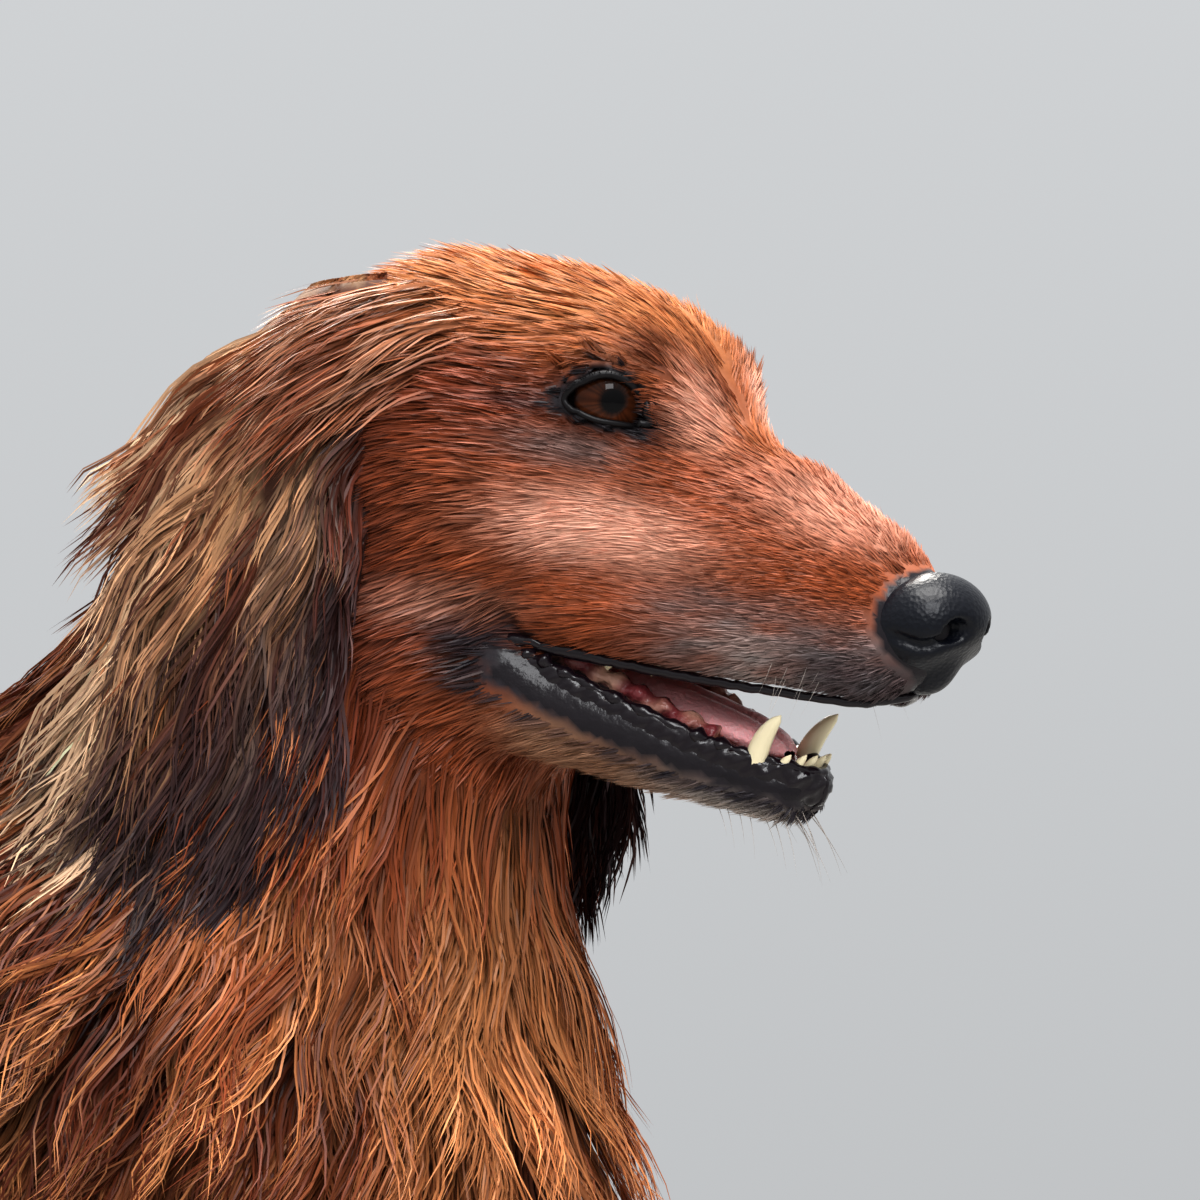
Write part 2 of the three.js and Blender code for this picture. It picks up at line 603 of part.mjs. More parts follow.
// The long coat. Each row of locks: the line of their roots from end to end, how many, their lie at both ends
const DOWN = [[0, 0, -1]];
const COAT = {
  neck: [
    { line: [[104, 6, 294], [92, 34, 288]], count: 2, lie: [[-0.2, 0, -1]], length: 60, width: 24 },
    { line: [[98, 4, 254], [84, 40, 252], [44, 64, 246]], count: 4, lie: DOWN, length: 66, width: 26, lift: 0.4 },
    { line: [[96, 5, 220], [86, 42, 216]], count: 3, lie: DOWN, length: 64, width: 26, lift: 0.45 },
    { line: [[60, 66, 208], [-10, 64, 216], [-52, 52, 240]], count: 4, lie: [[-0.4, 0, -1]], length: 66, width: 26,
      lift: 0.55 },
    { line: [[-2, 22, 322], [-54, 36, 284]], count: 3, lie: [[-0.7, 0, -0.8]], length: 52, width: 24 },
  ],
  torso: [
    { line: [[94, 5, 186], [70, 50, 190]], count: 3, lie: [[0.1, 0, -1]], length: 60, width: 26, lift: 0.5 },
    { line: [[88, 4, 146], [66, 36, 148]], count: 2, lie: [[0.1, 0, -1]], length: 50, width: 26 },
    { line: [[58, 16, 98], [-40, 24, 92], [-140, 38, 108], [-225, 36, 122]], count: 9,
      lie: [[-0.25, 0, -1], [-0.6, 0, -0.9]], length: 42, width: 24 },
    { line: [[-366, 30, 206], [-374, 22, 166]], count: 2, lie: [[-0.4, 0.1, -1]], length: 48, width: 24 },
  ],
  foreleg: [
    { line: [[-40, 52, 112], [-8, 46, 60]], count: 4, lie: [[-0.75, 0.1, -0.7]], length: 32, width: 15, thick: 3 },
  ],
  hindleg: [
    { line: [[-350, 46, 140], [-338, 50, 96]], count: 4, lie: [[-0.7, 0.1, -0.75]], length: 44, width: 19, thick: 3.4 },
    { line: [[-360, 46, 66], [-352, 46, 50]], count: 1, lie: [[-0.5, 0, -1]], length: 24, width: 13, thick: 3 },
  ],
  tail: [
    { line: TAIL.map((t) => t.slice(0, 3)), count: 7, lie: [[-0.45, 0.35, -0.8], [-0.85, 0.25, -0.5]],
      length: 54, width: 22, thick: 3.4, sink: 5 },
  ],
  ear: [
    { line: [[0.02, -0.75], [0.9, -0.8]], count: 4, lie: [[-1, 0, -0.5], [-0.6, 0, -0.9]], length: 54, width: 22,
      sink: 3 },
    { line: [[0.3, -0.2], [0.72, 0.3]], count: 2, lie: [[-0.4, 0, -1]], length: 58, width: 22, sink: 3 },
    { line: [[0.72, -0.7], [0.86, 0], [0.7, 0.85]], count: 4, lie: [[-0.3, 0, -1], [0.05, 0, -1]], length: 56,
      width: 22, sink: 3 },
  ],
};
const onLine = (line, t) => {
  const step = Math.min(t, 0.9999) * (line.length - 1);
  return mixed(line[Math.floor(step)], line[Math.floor(step) + 1], step % 1);
};
// The locks of one row: footFor turns a place on its line into a foot, turned mirrors their lie
function grow(row, footFor, turned, draw) {
  const swing = () => draw() - 0.5;
  return Array.from({ length: row.count }, (_, n) => {
    const t = (n + 0.5 + 0.4 * swing()) / row.count;
    const [first, last] = [row.lie[0], row.lie.at(-1)];
    const lie = plus(unit(mixed(first, last, t)), [swing(), swing(), swing()], 0.25);
    const size = 1 + 0.3 * swing();
    return lock(footFor(onLine(row.line, t)), { ...row, lie: turned(lie), length: row.length * size });
  });
}
const draw = draws(7);
const asIs = (v) => v;
const onBody = (turned) => (near) => footOn(flesh, turned(near));
const bothCoats = (rows) => [asIs, flip].flatMap((turned) => rows.flatMap((row) => grow(row, onBody(turned), turned, draw)));
// A body and its locks in one, with the locks cut clear of other nodes
const coated = (body, coat, ...others) => largest(union([
  body,
  others.reduce((left, other) => left.subtract(swollen(other, CLEAR)), union(coat)),
]));
const bare = { head: largest(made.head), neck: made.neck, torso: largest(made.torso), tail: made.tail };
for (const name of Object.keys(legs)) {
  const turned = name.endsWith('left') ? asIs : flip;
  const back = name === 'hindleg_right' ? HIND_STEP : 0;
  const rows = COAT[name.split('_')[0]];
  const footFor = (near) => footOn(flesh, plus(turned(near), [-back, 0, 0]));
  const coat = rows.flatMap((row) => grow(row, footFor, turned, draw));
  made[name] = coated(made[name], coat, bare.torso, made[footOf(name)]);
}
const coatedLegs = Object.keys(legs).flatMap((name) => [made[name], made[footOf(name)]]);
made.torso = coated(bare.torso, bothCoats(COAT.torso), bare.neck, bare.tail, ...coatedLegs);
for (const hand of ['left', 'right']) {
  const turned = hand === 'left' ? asIs : flip;
  const footFor = ([u, v]) => ({ at: earPoint(hand, u, v, 1), out: turned([0, 1, 0]) });
  const coat = COAT.ear.flatMap((row) => grow({ ...row, ride: 8 }, footFor, turned, draw));
  const flap = earFlap(hand).subtract(swollen(bare.head, CLEAR)).subtract(swollen(bare.neck, CLEAR));
  made[`ear_${hand}`] = coated(flap, coat, bare.head, bare.neck, made.jaw);
}
made.neck = coated(
  bare.neck,
  bothCoats(COAT.neck),
  made.torso,
  bare.head,
  made.jaw,
  made.ear_left,
  made.ear_right,
);
made.tail = coated(bare.tail, bothCoats(COAT.tail), made.torso);

// Colours of the coat, skin and horn
const finishes = {
  coat: { color: 0xa4522a, roughness: 0.75, metalness: 0 },
  nose: { color: 0x17171b, roughness: 0.45, metalness: 0 },
  eye: { color: 0x2b140a, roughness: 0.08, metalness: 0 },
  tongue: { color: 0xc9707a, roughness: 0.4, metalness: 0 },
};
const finishOf = (name) => Object.keys(finishes).find((key) => name.startsWith(key)) ?? 'coat';

function meshOf(name, solid) {
  const body = largest(solid).getMesh();
  const geometry = new THREE.BufferGeometry();
  geometry.setAttribute('position', new THREE.BufferAttribute(body.vertProperties, body.numProp));
  geometry.setIndex(new THREE.BufferAttribute(body.triVerts, 1));
  geometry.computeVertexNormals();
  const mesh = new THREE.Mesh(geometry, new THREE.MeshStandardMaterial(finishes[finishOf(name)]));
  mesh.name = name;
  return mesh;
}

// The whole is centred over the origin
const boxes = Object.values(made).map((solid) => solid.boundingBox());
const middle = [0, 1].map((axis) => (
  Math.min(...boxes.map((b) => b.min[axis])) + Math.max(...boxes.map((b) => b.max[axis]))
) / 2);

const dachshund = new THREE.Group();
dachshund.name = 'dachshund';
for (const [name, solid] of Object.entries(made)) {
  const mesh = meshOf(name, solid);
  mesh.geometry.translate(-middle[0], -middle[1], 0);
  dachshund.add(mesh);
}

export default dachshund;
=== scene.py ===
"""The looks of a long-haired dachshund: one skin over its solids, and a coat of tufts."""

import math

import bpy
import numpy as np
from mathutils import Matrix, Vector
from mathutils.kdtree import KDTree


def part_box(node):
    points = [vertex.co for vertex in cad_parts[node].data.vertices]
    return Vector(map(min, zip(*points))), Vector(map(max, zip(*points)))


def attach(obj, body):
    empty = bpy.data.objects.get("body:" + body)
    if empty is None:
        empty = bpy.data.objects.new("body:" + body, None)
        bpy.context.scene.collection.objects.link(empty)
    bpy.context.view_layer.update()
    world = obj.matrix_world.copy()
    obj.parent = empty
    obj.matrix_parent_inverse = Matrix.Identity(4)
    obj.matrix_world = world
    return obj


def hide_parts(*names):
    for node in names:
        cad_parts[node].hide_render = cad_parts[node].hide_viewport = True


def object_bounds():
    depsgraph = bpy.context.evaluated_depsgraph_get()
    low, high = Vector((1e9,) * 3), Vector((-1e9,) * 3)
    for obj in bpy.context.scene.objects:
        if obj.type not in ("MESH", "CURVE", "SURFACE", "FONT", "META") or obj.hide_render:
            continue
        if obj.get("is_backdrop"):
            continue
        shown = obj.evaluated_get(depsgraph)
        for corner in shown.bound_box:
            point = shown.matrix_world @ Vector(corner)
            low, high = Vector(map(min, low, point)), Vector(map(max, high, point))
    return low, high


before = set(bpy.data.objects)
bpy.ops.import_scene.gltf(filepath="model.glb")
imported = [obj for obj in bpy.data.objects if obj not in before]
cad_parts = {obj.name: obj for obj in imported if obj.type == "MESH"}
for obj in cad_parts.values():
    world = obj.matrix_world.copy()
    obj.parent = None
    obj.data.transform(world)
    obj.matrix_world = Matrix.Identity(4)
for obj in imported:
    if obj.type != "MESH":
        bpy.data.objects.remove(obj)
box_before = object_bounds()

MM = 0.001
FULL_TURN = 6.28  # near enough for noise and waves
rng = np.random.default_rng(11)

# The solids' sizes, in millimetres, in the frame in which the animal was drawn:
# soles on Z = 0, shoulders near X = 0, the animal's left towards +Y
WITHERS = 250.0
BRISKET = 86.0
EYE_HEIGHT = 339.0
HEAD_AHEAD = 133.0
HEAD_PITCH = math.radians(12)
HEAD_TURN = math.radians(11)
HIND_STEP = 18.0
SIDES = ((1, "left"), (-1, "right"))


def unit(v):
    v = np.asarray(v, float)
    return v / np.maximum(np.linalg.norm(v, axis=-1, keepdims=True), 1e-9)


def smooth(low, high, value):
    t = np.clip((value - low) / (high - low), 0, 1)
    return t * t * (3 - 2 * t)


def turns(count):
    """Angles spaced evenly round a circle."""
    return np.linspace(0, 2 * math.pi, count, endpoint=False)


def spot(points, at, size):
    """1 at a place, falling softly to 0 outside an ellipsoid round it."""
    q = (points - np.array(at)) / np.array(size)
    return np.exp(-np.sum(q * q, axis=-1) ** 1.5)


# The head's own frame: origin between the inner corners of the eyes, +X to the nose, +Z to the crown
def turn_y(a):
    return np.array([[math.cos(a), 0, math.sin(a)], [0, 1, 0], [-math.sin(a), 0, math.cos(a)]])


def turn_z(a):
    return np.array([[math.cos(a), -math.sin(a), 0], [math.sin(a), math.cos(a), 0], [0, 0, 1]])


HEAD_TURNED = turn_z(-HEAD_TURN) @ turn_y(HEAD_PITCH)
HEAD_AT = np.array([HEAD_AHEAD, -12.0, EYE_HEIGHT])


def to_world(points):
    return np.asarray(points, float) @ HEAD_TURNED.T + HEAD_AT


def to_head(points):
    return (points - HEAD_AT) @ HEAD_TURNED


def way_to_world(ways):
    return np.asarray(ways, float) @ HEAD_TURNED.T


# Fields: each gives a rough signed distance to a form, negative inside
def ball(at, size):
    at, size = np.array(at, np.float32), np.array(size, np.float32)

    def field(p):
        q = (p - at) / size
        near = np.sqrt(np.sum(q * q, axis=-1))
        q /= size
        slope = np.sqrt(np.sum(q * q, axis=-1))
        return near * (near - 1) / np.maximum(slope, 1e-6)

    return field


def limb(*stations):
    def field(p):
        best = None
        for a, b in zip(stations, stations[1:]):
            start, along = np.array(a[:3], np.float32), np.subtract(b[:3], a[:3]).astype(np.float32)
            t = np.clip(((p - start) @ along) / (along @ along), 0, 1)
            q = p - start - t[..., None] * along
            d = np.sqrt(np.sum(q * q, axis=-1)) - (a[3] + (b[3] - a[3]) * t)
            best = d if best is None else np.minimum(best, d)
        return best

    return field


def smooth_min(a, b, k):
    h = np.maximum(k - np.abs(a - b), 0) / k
    return np.minimum(a, b) - h * h * k / 4


def blend(k, *fields):
    def field(p):
        d = fields[0](p)
        for f in fields[1:]:
            d = smooth_min(d, f(p), k)
        return d

    return field


def carve(k, body, cutter):
    return lambda p: -smooth_min(-body(p), cutter(p), k)


def folded(p):
    """Points with the right side laid over onto the left."""
    return np.concatenate([p[..., :1], np.abs(p[..., 1:2]), p[..., 2:]], axis=-1)


def both_sides(field):
    return lambda p: field(folded(p))


def moved(field, back=0.0, side=1):
    """The field shifted back along X, and mirrored where side is -1."""
    return lambda p: field(p * np.array([1, side, 1], np.float32) + np.array([back, 0, 0], np.float32))


# The head, in its own frame
EYE_AT = np.array([-16.5, 21.5, 4.5])
EYE_R = 11.5
EYE_LOOKS = unit([0.62, 0.78, 0.03])  # the way out of the lids' opening
EYE_GAZE = np.array([0.70, 0.71, 0.03])  # the way the pupil looks
LID_HALF, LID_OUTER, LID_UPPER, LID_LOWER = 12.4, 9.4, 6.1, 5.2
skull = blend(
    16,
    ball([-62, 0, -6], [47, 42, 38]),
    ball([-25, 0, -3], [36, 33, 33]),
    both_sides(ball([-46, 29, -26], [36, 17, 27])),
    limb([0, 0, -26, 28], [25, 0, -27, 26], [48, 0, -31, 21], [66, 0, -35, 15.5]),
)
brows = both_sides(ball([-11, 18, 9], [12, 9.5, 10]))
upper_lips = both_sides(limb([-14, 23, -46, 11], [28, 15, -45, 10.5], [60, 8, -44, 9.5]))
mouth_hollow = limb([-16, 0, -61, 16], [20, 0, -58, 14], [50, 0, -57, 9])
orbits = both_sides(ball([-4, 32, 3], [11, 8, 7]))
upper_head = carve(4, carve(5, blend(9, skull, brows, upper_lips), mouth_hollow), orbits)
jaw = blend(
    8,
    both_sides(limb([-52, 27, -58, 18], [-18, 20, -71, 13.5], [20, 12, -77, 9.5], [42, 5, -79, 7.5])),
    limb([-40, 0, -70, 17], [0, 0, -79, 7], [38, 0, -80, 6]),
)
head_alone = blend(7, upper_head, jaw)

# The trunk, neck, tail and legs
MID_RIB = (WITHERS + BRISKET) / 2
trunk = blend(
    30,
    ball([8, 0, MID_RIB - 8], [84, 57, 74]),
    ball([-70, 0, MID_RIB], [108, 62, (WITHERS - BRISKET) / 2]),
    ball([-190, 0, MID_RIB + 10], [122, 54, 63]),
    ball([-298, 0, MID_RIB + 14], [74, 56, 61]),
    both_sides(ball([-12, 44, MID_RIB + 2], [46, 23, 62])),
    both_sides(ball([-292, 38, MID_RIB - 14], [58, 28, 62])),
)
neck = blend(
    24,
    limb([26, 0, 200, 62], [36, 0, 250, 53], [46, 0, 295, 47], [56, -3, 328, 42]),
    limb([-66, 0, 206, 44], [-2, 0, 262, 43], [40, 0, 318, 40]),
)
TAIL = [[-352, 0, 218, 21], [-400, 0, 203, 15], [-450, 2, 176, 11.5], [-500, 6, 152, 9], [-545, 12, 143, 6]]
FORE = {"elbow": [-20, 50, 122], "wrist": [16, 43, 50], "toes": [36, 46]}
HIND = {"hip": [-292, 40, 150], "knee": [-262, 52, 112], "hock": [-346, 46, 70], "toes": [-318, 48]}
TOES = [[-13.5, -3, 8], [-5, 5, 9], [5, 5, 9], [13.5, -3, 8]]
fore_leg = blend(
    12,
    limb([*FORE["elbow"], 25], [-2, 46, 84, 17], [*FORE["wrist"], 14.5]),
    limb([*FORE["wrist"], 14.5], [22, 44, 26, 15]),
)
hind_leg = blend(
    14,
    limb([*HIND["hip"], 38], [*HIND["knee"], 28], [-300, 50, 94, 20], [*HIND["hock"], 13.5]),
    limb([*HIND["hock"], 13.5], [-334, 46, 24, 14]),
)


def paw(at, size):
    x, y = at
    toes = [
        ball([x + ahead * size, y + side * size, 9], [(r + 5) * size, (r - 1.4) * size, r + 2.5])
        for side, ahead, r in TOES
    ]
    return blend(5, ball([x - 13, y, 13], [21 * size, 18 * size, 15 * size]), *toes)


FORE_SIZE, HIND_SIZE = 1.02, 0.92
fore = blend(8, fore_leg, paw(FORE["toes"], FORE_SIZE))
hind = blend(8, hind_leg, paw(HIND["toes"], HIND_SIZE))
legs = [fore, moved(fore, side=-1), hind, moved(hind, HIND_STEP, -1)]
trunk_and_legs = blend(18, blend(26, trunk, neck), limb(*TAIL), *legs)


def flesh(p):
    return smooth_min(trunk_and_legs(p), head_alone(to_head(p).astype(np.float32)), 14)


# A field held on a grid, so that it can be meshed and looked up fast
class Grid:
    def __init__(self, field, axes):
        self.axes = [np.asarray(a, np.float32) for a in axes]
        shape = tuple(len(a) for a in self.axes)
        self.values = np.empty(shape, np.float32)
        rows = max(1, 400000 // (shape[1] * shape[2]))
        for start in range(0, shape[0], rows):
            xs = self.axes[0][start : start + rows]
            block = np.stack(np.meshgrid(xs, self.axes[1], self.axes[2], indexing="ij"), axis=-1)
            self.values[start : start + rows] = field(block)

    def at(self, points):
        """The field at points, between the grid's values."""
        low, share = [], []
        for i, axis in enumerate(self.axes):
            n = np.clip(np.searchsorted(axis, points[:, i]) - 1, 0, len(axis) - 2)
            low.append(n)
            share.append(np.clip((points[:, i] - axis[n]) / (axis[n + 1] - axis[n]), 0, 1))
        total = 0
        for corner in range(8):
            steps = [(corner >> 2) & 1, (corner >> 1) & 1, corner & 1]
            weight = 1
            for s, t in zip(steps, share):
                weight = weight * (t if s else 1 - t)
            total = total + weight * self.values[low[0] + steps[0], low[1] + steps[1], low[2] + steps[2]]
        return total

    def slope(self, points, reach=2.0):
        """The way out of the form at points."""
        steps = np.eye(3) * reach
        return unit(np.stack([self.at(points + s) - self.at(points - s) for s in steps], axis=-1))

    def mesh(self, level=0.0):
        """The surface where the field has that level: one vertex in each cell it crosses, and quads."""
        v = self.values - level
        inside = v < 0
        corners = [(i, j, k) for i in (0, 1) for j in (0, 1) for k in (0, 1)]
        cut = [slice(None, -1), slice(1, None)]
        count = sum(inside[cut[i], cut[j], cut[k]].astype(np.int8) for i, j, k in corners)
        cells = np.argwhere((count > 0) & (count < 8))
        number = np.full(count.shape, -1, np.int32)
        number[tuple(cells.T)] = np.arange(len(cells))
        total, hits = np.zeros((len(cells), 3)), np.zeros(len(cells))
        for a in corners:
            for b in corners:
                if sum(a) < sum(b) and sum(abs(s - t) for s, t in zip(a, b)) == 1:
                    ia, ib = cells + a, cells + b
                    va, vb = v[tuple(ia.T)], v[tuple(ib.T)]
                    crossed = (va < 0) != (vb < 0)
                    t = np.where(crossed, va / np.where(crossed, va - vb, 1), 0)[:, None]
                    pa = np.stack([self.axes[n][ia[:, n]] for n in range(3)], axis=-1)
                    pb = np.stack([self.axes[n][ib[:, n]] for n in range(3)], axis=-1)
                    total += np.where(crossed[:, None], pa + (pb - pa) * t, 0)
                    hits += crossed
        vertices = total / hits[:, None]
        quads = []
        for axis in range(3):
            near, far = [slice(None)] * 3, [slice(None)] * 3
            near[axis], far[axis] = slice(None, -1), slice(1, None)
            change = inside[tuple(near)] != inside[tuple(far)]
            edges = np.argwhere(change)
            u, w = (axis + 1) % 3, (axis + 2) % 3
            edges = edges[(edges[:, u] > 0) & (edges[:, w] > 0)]
            edges = edges[(edges[:, u] < v.shape[u] - 1) & (edges[:, w] < v.shape[w] - 1)]
            ring = []
            for du, dw in ((1, 1), (0, 1), (0, 0), (1, 0)):
                cell = edges.copy()
                cell[:, u] -= du
                cell[:, w] -= dw
                ring.append(number[tuple(cell.T)])
            ring = np.stack(ring, axis=-1)
            outward = inside[tuple(edges.T)]
            quads.append(np.where(outward[:, None], ring, ring[:, ::-1]))
        return vertices, np.concatenate(quads)


def spaced(*stretches):
    """Grid places: each stretch is (from, to, step)."""
    return np.unique(np.concatenate([np.arange(a, b + s / 2, s) for a, b, s in stretches]).round(3))


# Where the drawing's frame lies in the row's frame, read off an eye
eye_low, eye_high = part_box("eye_right")
SHIFT = np.array((eye_low + eye_high) / 2) / MM - to_world(EYE_AT * [1, -1, 1])


def placed(name, data):
    """A new object in the scene."""
    made = bpy.data.objects.new(name, data)
    bpy.context.scene.collection.objects.link(made)
    return made


def make_mesh(name, points, faces, material):
    """An object from points in the drawing's frame, in millimetres, and an array of triangles or quads."""
    faces = np.asarray(faces, np.int32)
    mesh = bpy.data.meshes.new(name)
    mesh.vertices.add(len(points))
    mesh.vertices.foreach_set("co", ((np.asarray(points) + SHIFT) * MM).astype(np.float32).ravel())
    mesh.loops.add(faces.size)
    mesh.loops.foreach_set("vertex_index", faces.ravel())
    mesh.polygons.add(len(faces))
    mesh.polygons.foreach_set("loop_start", np.arange(0, faces.size, faces.shape[1], dtype=np.int32))
    mesh.polygons.foreach_set("use_smooth", np.full(len(faces), True))
    mesh.update(calc_edges=True)
    piece = placed(name, mesh)
    mesh.materials.append(material)
    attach(piece, "root")
    return piece


def paint(piece, name, colours):
    """A colour for each vertex, as an attribute that the material reads."""
    layer = piece.data.color_attributes.new(name, "FLOAT_COLOR", "POINT")
    full = np.ones((len(colours), 4), np.float32)
    full[:, : colours.shape[1]] = colours
    layer.data.foreach_set("color", full.ravel())


# Colours of coat and skin, as shares of light
RED = np.array([0.27, 0.070, 0.024])
DEEP = np.array([0.095, 0.020, 0.009])
GOLD = np.array([0.56, 0.245, 0.095])
BLOND = np.array([0.62, 0.40, 0.25])
CREAM = np.array([0.74, 0.55, 0.38])
GREY = np.array([0.21, 0.175, 0.17])
WHITE = np.array([0.62, 0.57, 0.53])
BLACK = np.array([0.016, 0.013, 0.016])
PINK = np.array([0.66, 0.37, 0.27])
INNER = np.array([0.20, 0.035, 0.040])
IRIS = np.array([0.050, 0.014, 0.005])
EYE_WHITE = [0.012, 0.007, 0.006]


def toned(colours, *layers):
    """The colours with other tones laid over them in turn, each given with its share."""
    for tone, share in layers:
        share = np.clip(share, 0, 1)[:, None]
        colours = colours * (1 - share) + tone * share
    return colours


def wavy(points, size, seed):
    """A soft noise between -1 and 1."""
    turn = np.random.default_rng(seed)
    total = 0
    for _ in range(5):
        way, phase = unit(turn.normal(size=3)), turn.uniform(0, FULL_TURN)
        total = total + np.sin(points @ way * FULL_TURN / (size * turn.uniform(0.6, 1.6)) + phase)
    return total / 3


# Spots on both sides of the head, markings with a painted shadow and a painted highlight among them: tone,
# strength, middle and size
HEAD_SPOTS = [
    (DEEP * 1.6, 0.6, [-34, 38, 2], [16, 14, 16]),
    # a painted shadow, deep red, on the neck behind the jaw and beside the ear
    (DEEP * 1.3, 0.8, [-64, 34, -52], [26, 26, 26]),
    # a painted highlight, pale pink, on the cheek under the eye
    (PINK * 1.3, 0.95, [2, 34, -25], [27, 18, 9]),
    (PINK * 1.15, 0.8, [8, 11, 4], [12, 8, 12]),
    (PINK * 1.15, 0.7, [42, 6, -13], [28, 12, 9]),
    (PINK * 0.8, 0.5, [-30, 40, -47], [18, 16, 6]),
    (GREY * 0.6, 0.75, [-12, 32, -8], [17, 12, 5]),
    (DEEP * 0.9, 0.85, [-2, 20, 17], [6, 8, 7]),
]


def coat_colour_and_painted_light(points):
    """The coat's colour at points of the drawing's frame, with painted highlights on the crown and cheeks
    and painted shade behind and below the head.
    """
    h = to_head(points)
    x, z = h[:, 0], h[:, 2]
    along, up = points[:, 0], points[:, 2]
    side = folded(h)
    on_head = smooth(-105, -60, x) * smooth(-105, -85, z)
    top = smooth(4, 26, z) + smooth(-8, 6, z) * smooth(5, 25, x)
    lip = -48 - 0.02 * (x + 20)
    grizzle = 0.75 + 0.25 * wavy(points, 5, 6)
    _, _, out, opening = eye_place(h)
    edge = lower_lip_edge(x)
    under = smooth(edge - 4, edge - 12, z) * smooth(-30, -5, x) * smooth(-104, -92, z)
    dark = smooth(edge - 13, edge - 8, z) * smooth(edge + 6, edge, z) * smooth(-34, -26, x)
    return toned(
        np.tile(RED, (len(points), 1)),
        (DEEP, 0.42 + 0.3 * wavy(points, 60, 1)),
        (GOLD, 0.35 * smooth(-0.2, 1, wavy(points * [0.5, 1, 0.5], 26, 2))),
        # the trunk: lighter feathering below, darker along the back and over the withers, a light throat
        (GOLD, 0.35 * smooth(150, 90, up)),
        (DEEP, 0.4 * smooth(225, 262, up) * smooth(-20, -60, along)),
        (DEEP * 0.7, 0.75 * smooth(50, -10, along) * smooth(-120, -60, along) * smooth(150, 200, up)),
        (GOLD * 0.75, 0.5 * spot(points, [76, -20, 240], [16, 22, 40])),
        (GOLD, 0.6 * spot(points, [86, -14, 212], [20, 24, 30])),
        # the head: golden above, partly the coat's colour and partly a painted highlight from above; deep
        # red behind and below as painted shade; pale under the eye as a painted highlight
        (RED * 1.15, on_head),
        (GOLD, on_head * 0.75 * top * (0.8 + 0.2 * wavy(points, 14, 3))),
        (DEEP * 1.15, on_head * 0.75 * smooth(-22, -60, x) * smooth(18, -12, z)),
        *[(tone, share * spot(side, at, size)) for tone, share, at, size in HEAD_SPOTS],
        # the muzzle: grizzled, and black before the nose and at the corner of the mouth
        (GREY * 0.9, 0.8 * smooth(0, 28, x) * smooth(lip + 22, lip + 10, z) * grizzle),
        (WHITE * 0.8, 0.35 * smooth(20, 40, x) * smooth(lip + 12, lip + 4, z) * grizzle),
        (BLACK * 3, 0.8 * smooth(40, 60, x) * smooth(-34, -46, z)),
        (BLACK * 2.5, 0.8 * spot(side, [-26, 32, -54], [12, 12, 5])),
        # round the eye
        (DEEP * 0.6, 0.7 * smooth(2.3, 1.5, opening) * (out > 0)),
        (BLACK * 1.1, smooth(1.5, 1.3, opening) * (out > 0)),
        (BLACK * 3, 0.8 * spot(side, [-30, 32, 0], [7, 6, 2.6])),
        (BLACK * 2, 0.9 * spot(side, [0, 17, -2], [5, 5, 3])),
        # the jaw: pale below, black along the lip
        (BLOND * 0.55, 0.7 * under),
        (WHITE * 0.9, 0.75 * under * smooth(10, 40, x)),
        (BLACK * 2, dark * (1.0 + 0.3 * wavy(points, 4, 8))),
        (BLACK * 1.5, 0.95 * spot(side, [-29, 30, -59], [7, 9, 6])),
    )


# Materials
def shader_of(made):
    return made.node_tree.nodes["Principled BSDF"]


def material(name, roughness=0.5, colour=(0.5, 0.5, 0.5), **sockets):
    made = bpy.data.materials.new(name)
    made.use_nodes = True
    inputs = shader_of(made).inputs
    inputs["Base Color"].default_value = (*colour, 1)
    inputs["Roughness"].default_value = roughness
    for key, value in sockets.items():
        inputs[key.replace("_", " ")].default_value = value
    return made


def node(made, kind, **values):
    new = made.node_tree.nodes.new(kind)
    for key, value in values.items():
        if key in new.inputs:
            new.inputs[key].default_value = value
        else:
            setattr(new, key, value)
    return new


def link(made, out, into):
    made.node_tree.links.new(out, into)


def texture(made, kind, **values):
    """A texture in the object's own space."""
    place = node(made, "ShaderNodeTexCoord")
    pattern = node(made, kind, **values)
    link(made, place.outputs["Object"], pattern.inputs["Vector"])
    return pattern


def mapped(made, value, low, high, start=0.0):
    """A value between start and 1, brought between low and high."""
    level = node(made, "ShaderNodeMapRange")
    for socket, number in (("From Min", start), ("To Min", low), ("To Max", high)):
        level.inputs[socket].default_value = number
    link(made, value, level.inputs["Value"])
    return level.outputs["Result"]


def add_bump(made, height, distance, strength=1.0):
    """Fine relief from a texture's output, its depth in metres."""
    bump = node(made, "ShaderNodeBump", Distance=distance, Strength=strength)
    link(made, height, bump.inputs["Height"])
    link(made, bump.outputs["Normal"], shader_of(made).inputs["Normal"])


def add_grain(made, scale, distance, strength=1.0):
    noise = texture(made, "ShaderNodeTexNoise", Scale=scale, Detail=3.0)
    add_bump(made, noise.outputs["Fac"], distance, strength)


def painted(made, name="Coat", noise_scale=None, spread=0.3):
    """The material takes its colour from the vertices, with fine noise in its brightness."""
    colour = node(made, "ShaderNodeAttribute", attribute_name=name).outputs["Color"]
    if noise_scale:
        noise = texture(made, "ShaderNodeTexNoise", Scale=noise_scale, Detail=4.0)
        tint = node(made, "ShaderNodeVectorMath", operation="SCALE")
        link(made, colour, tint.inputs[0])
        link(made, mapped(made, noise.outputs["Fac"], 1 - spread, 1 + spread), tint.inputs["Scale"])
        colour = tint.outputs["Vector"]
    link(made, colour, shader_of(made).inputs["Base Color"])
    return made


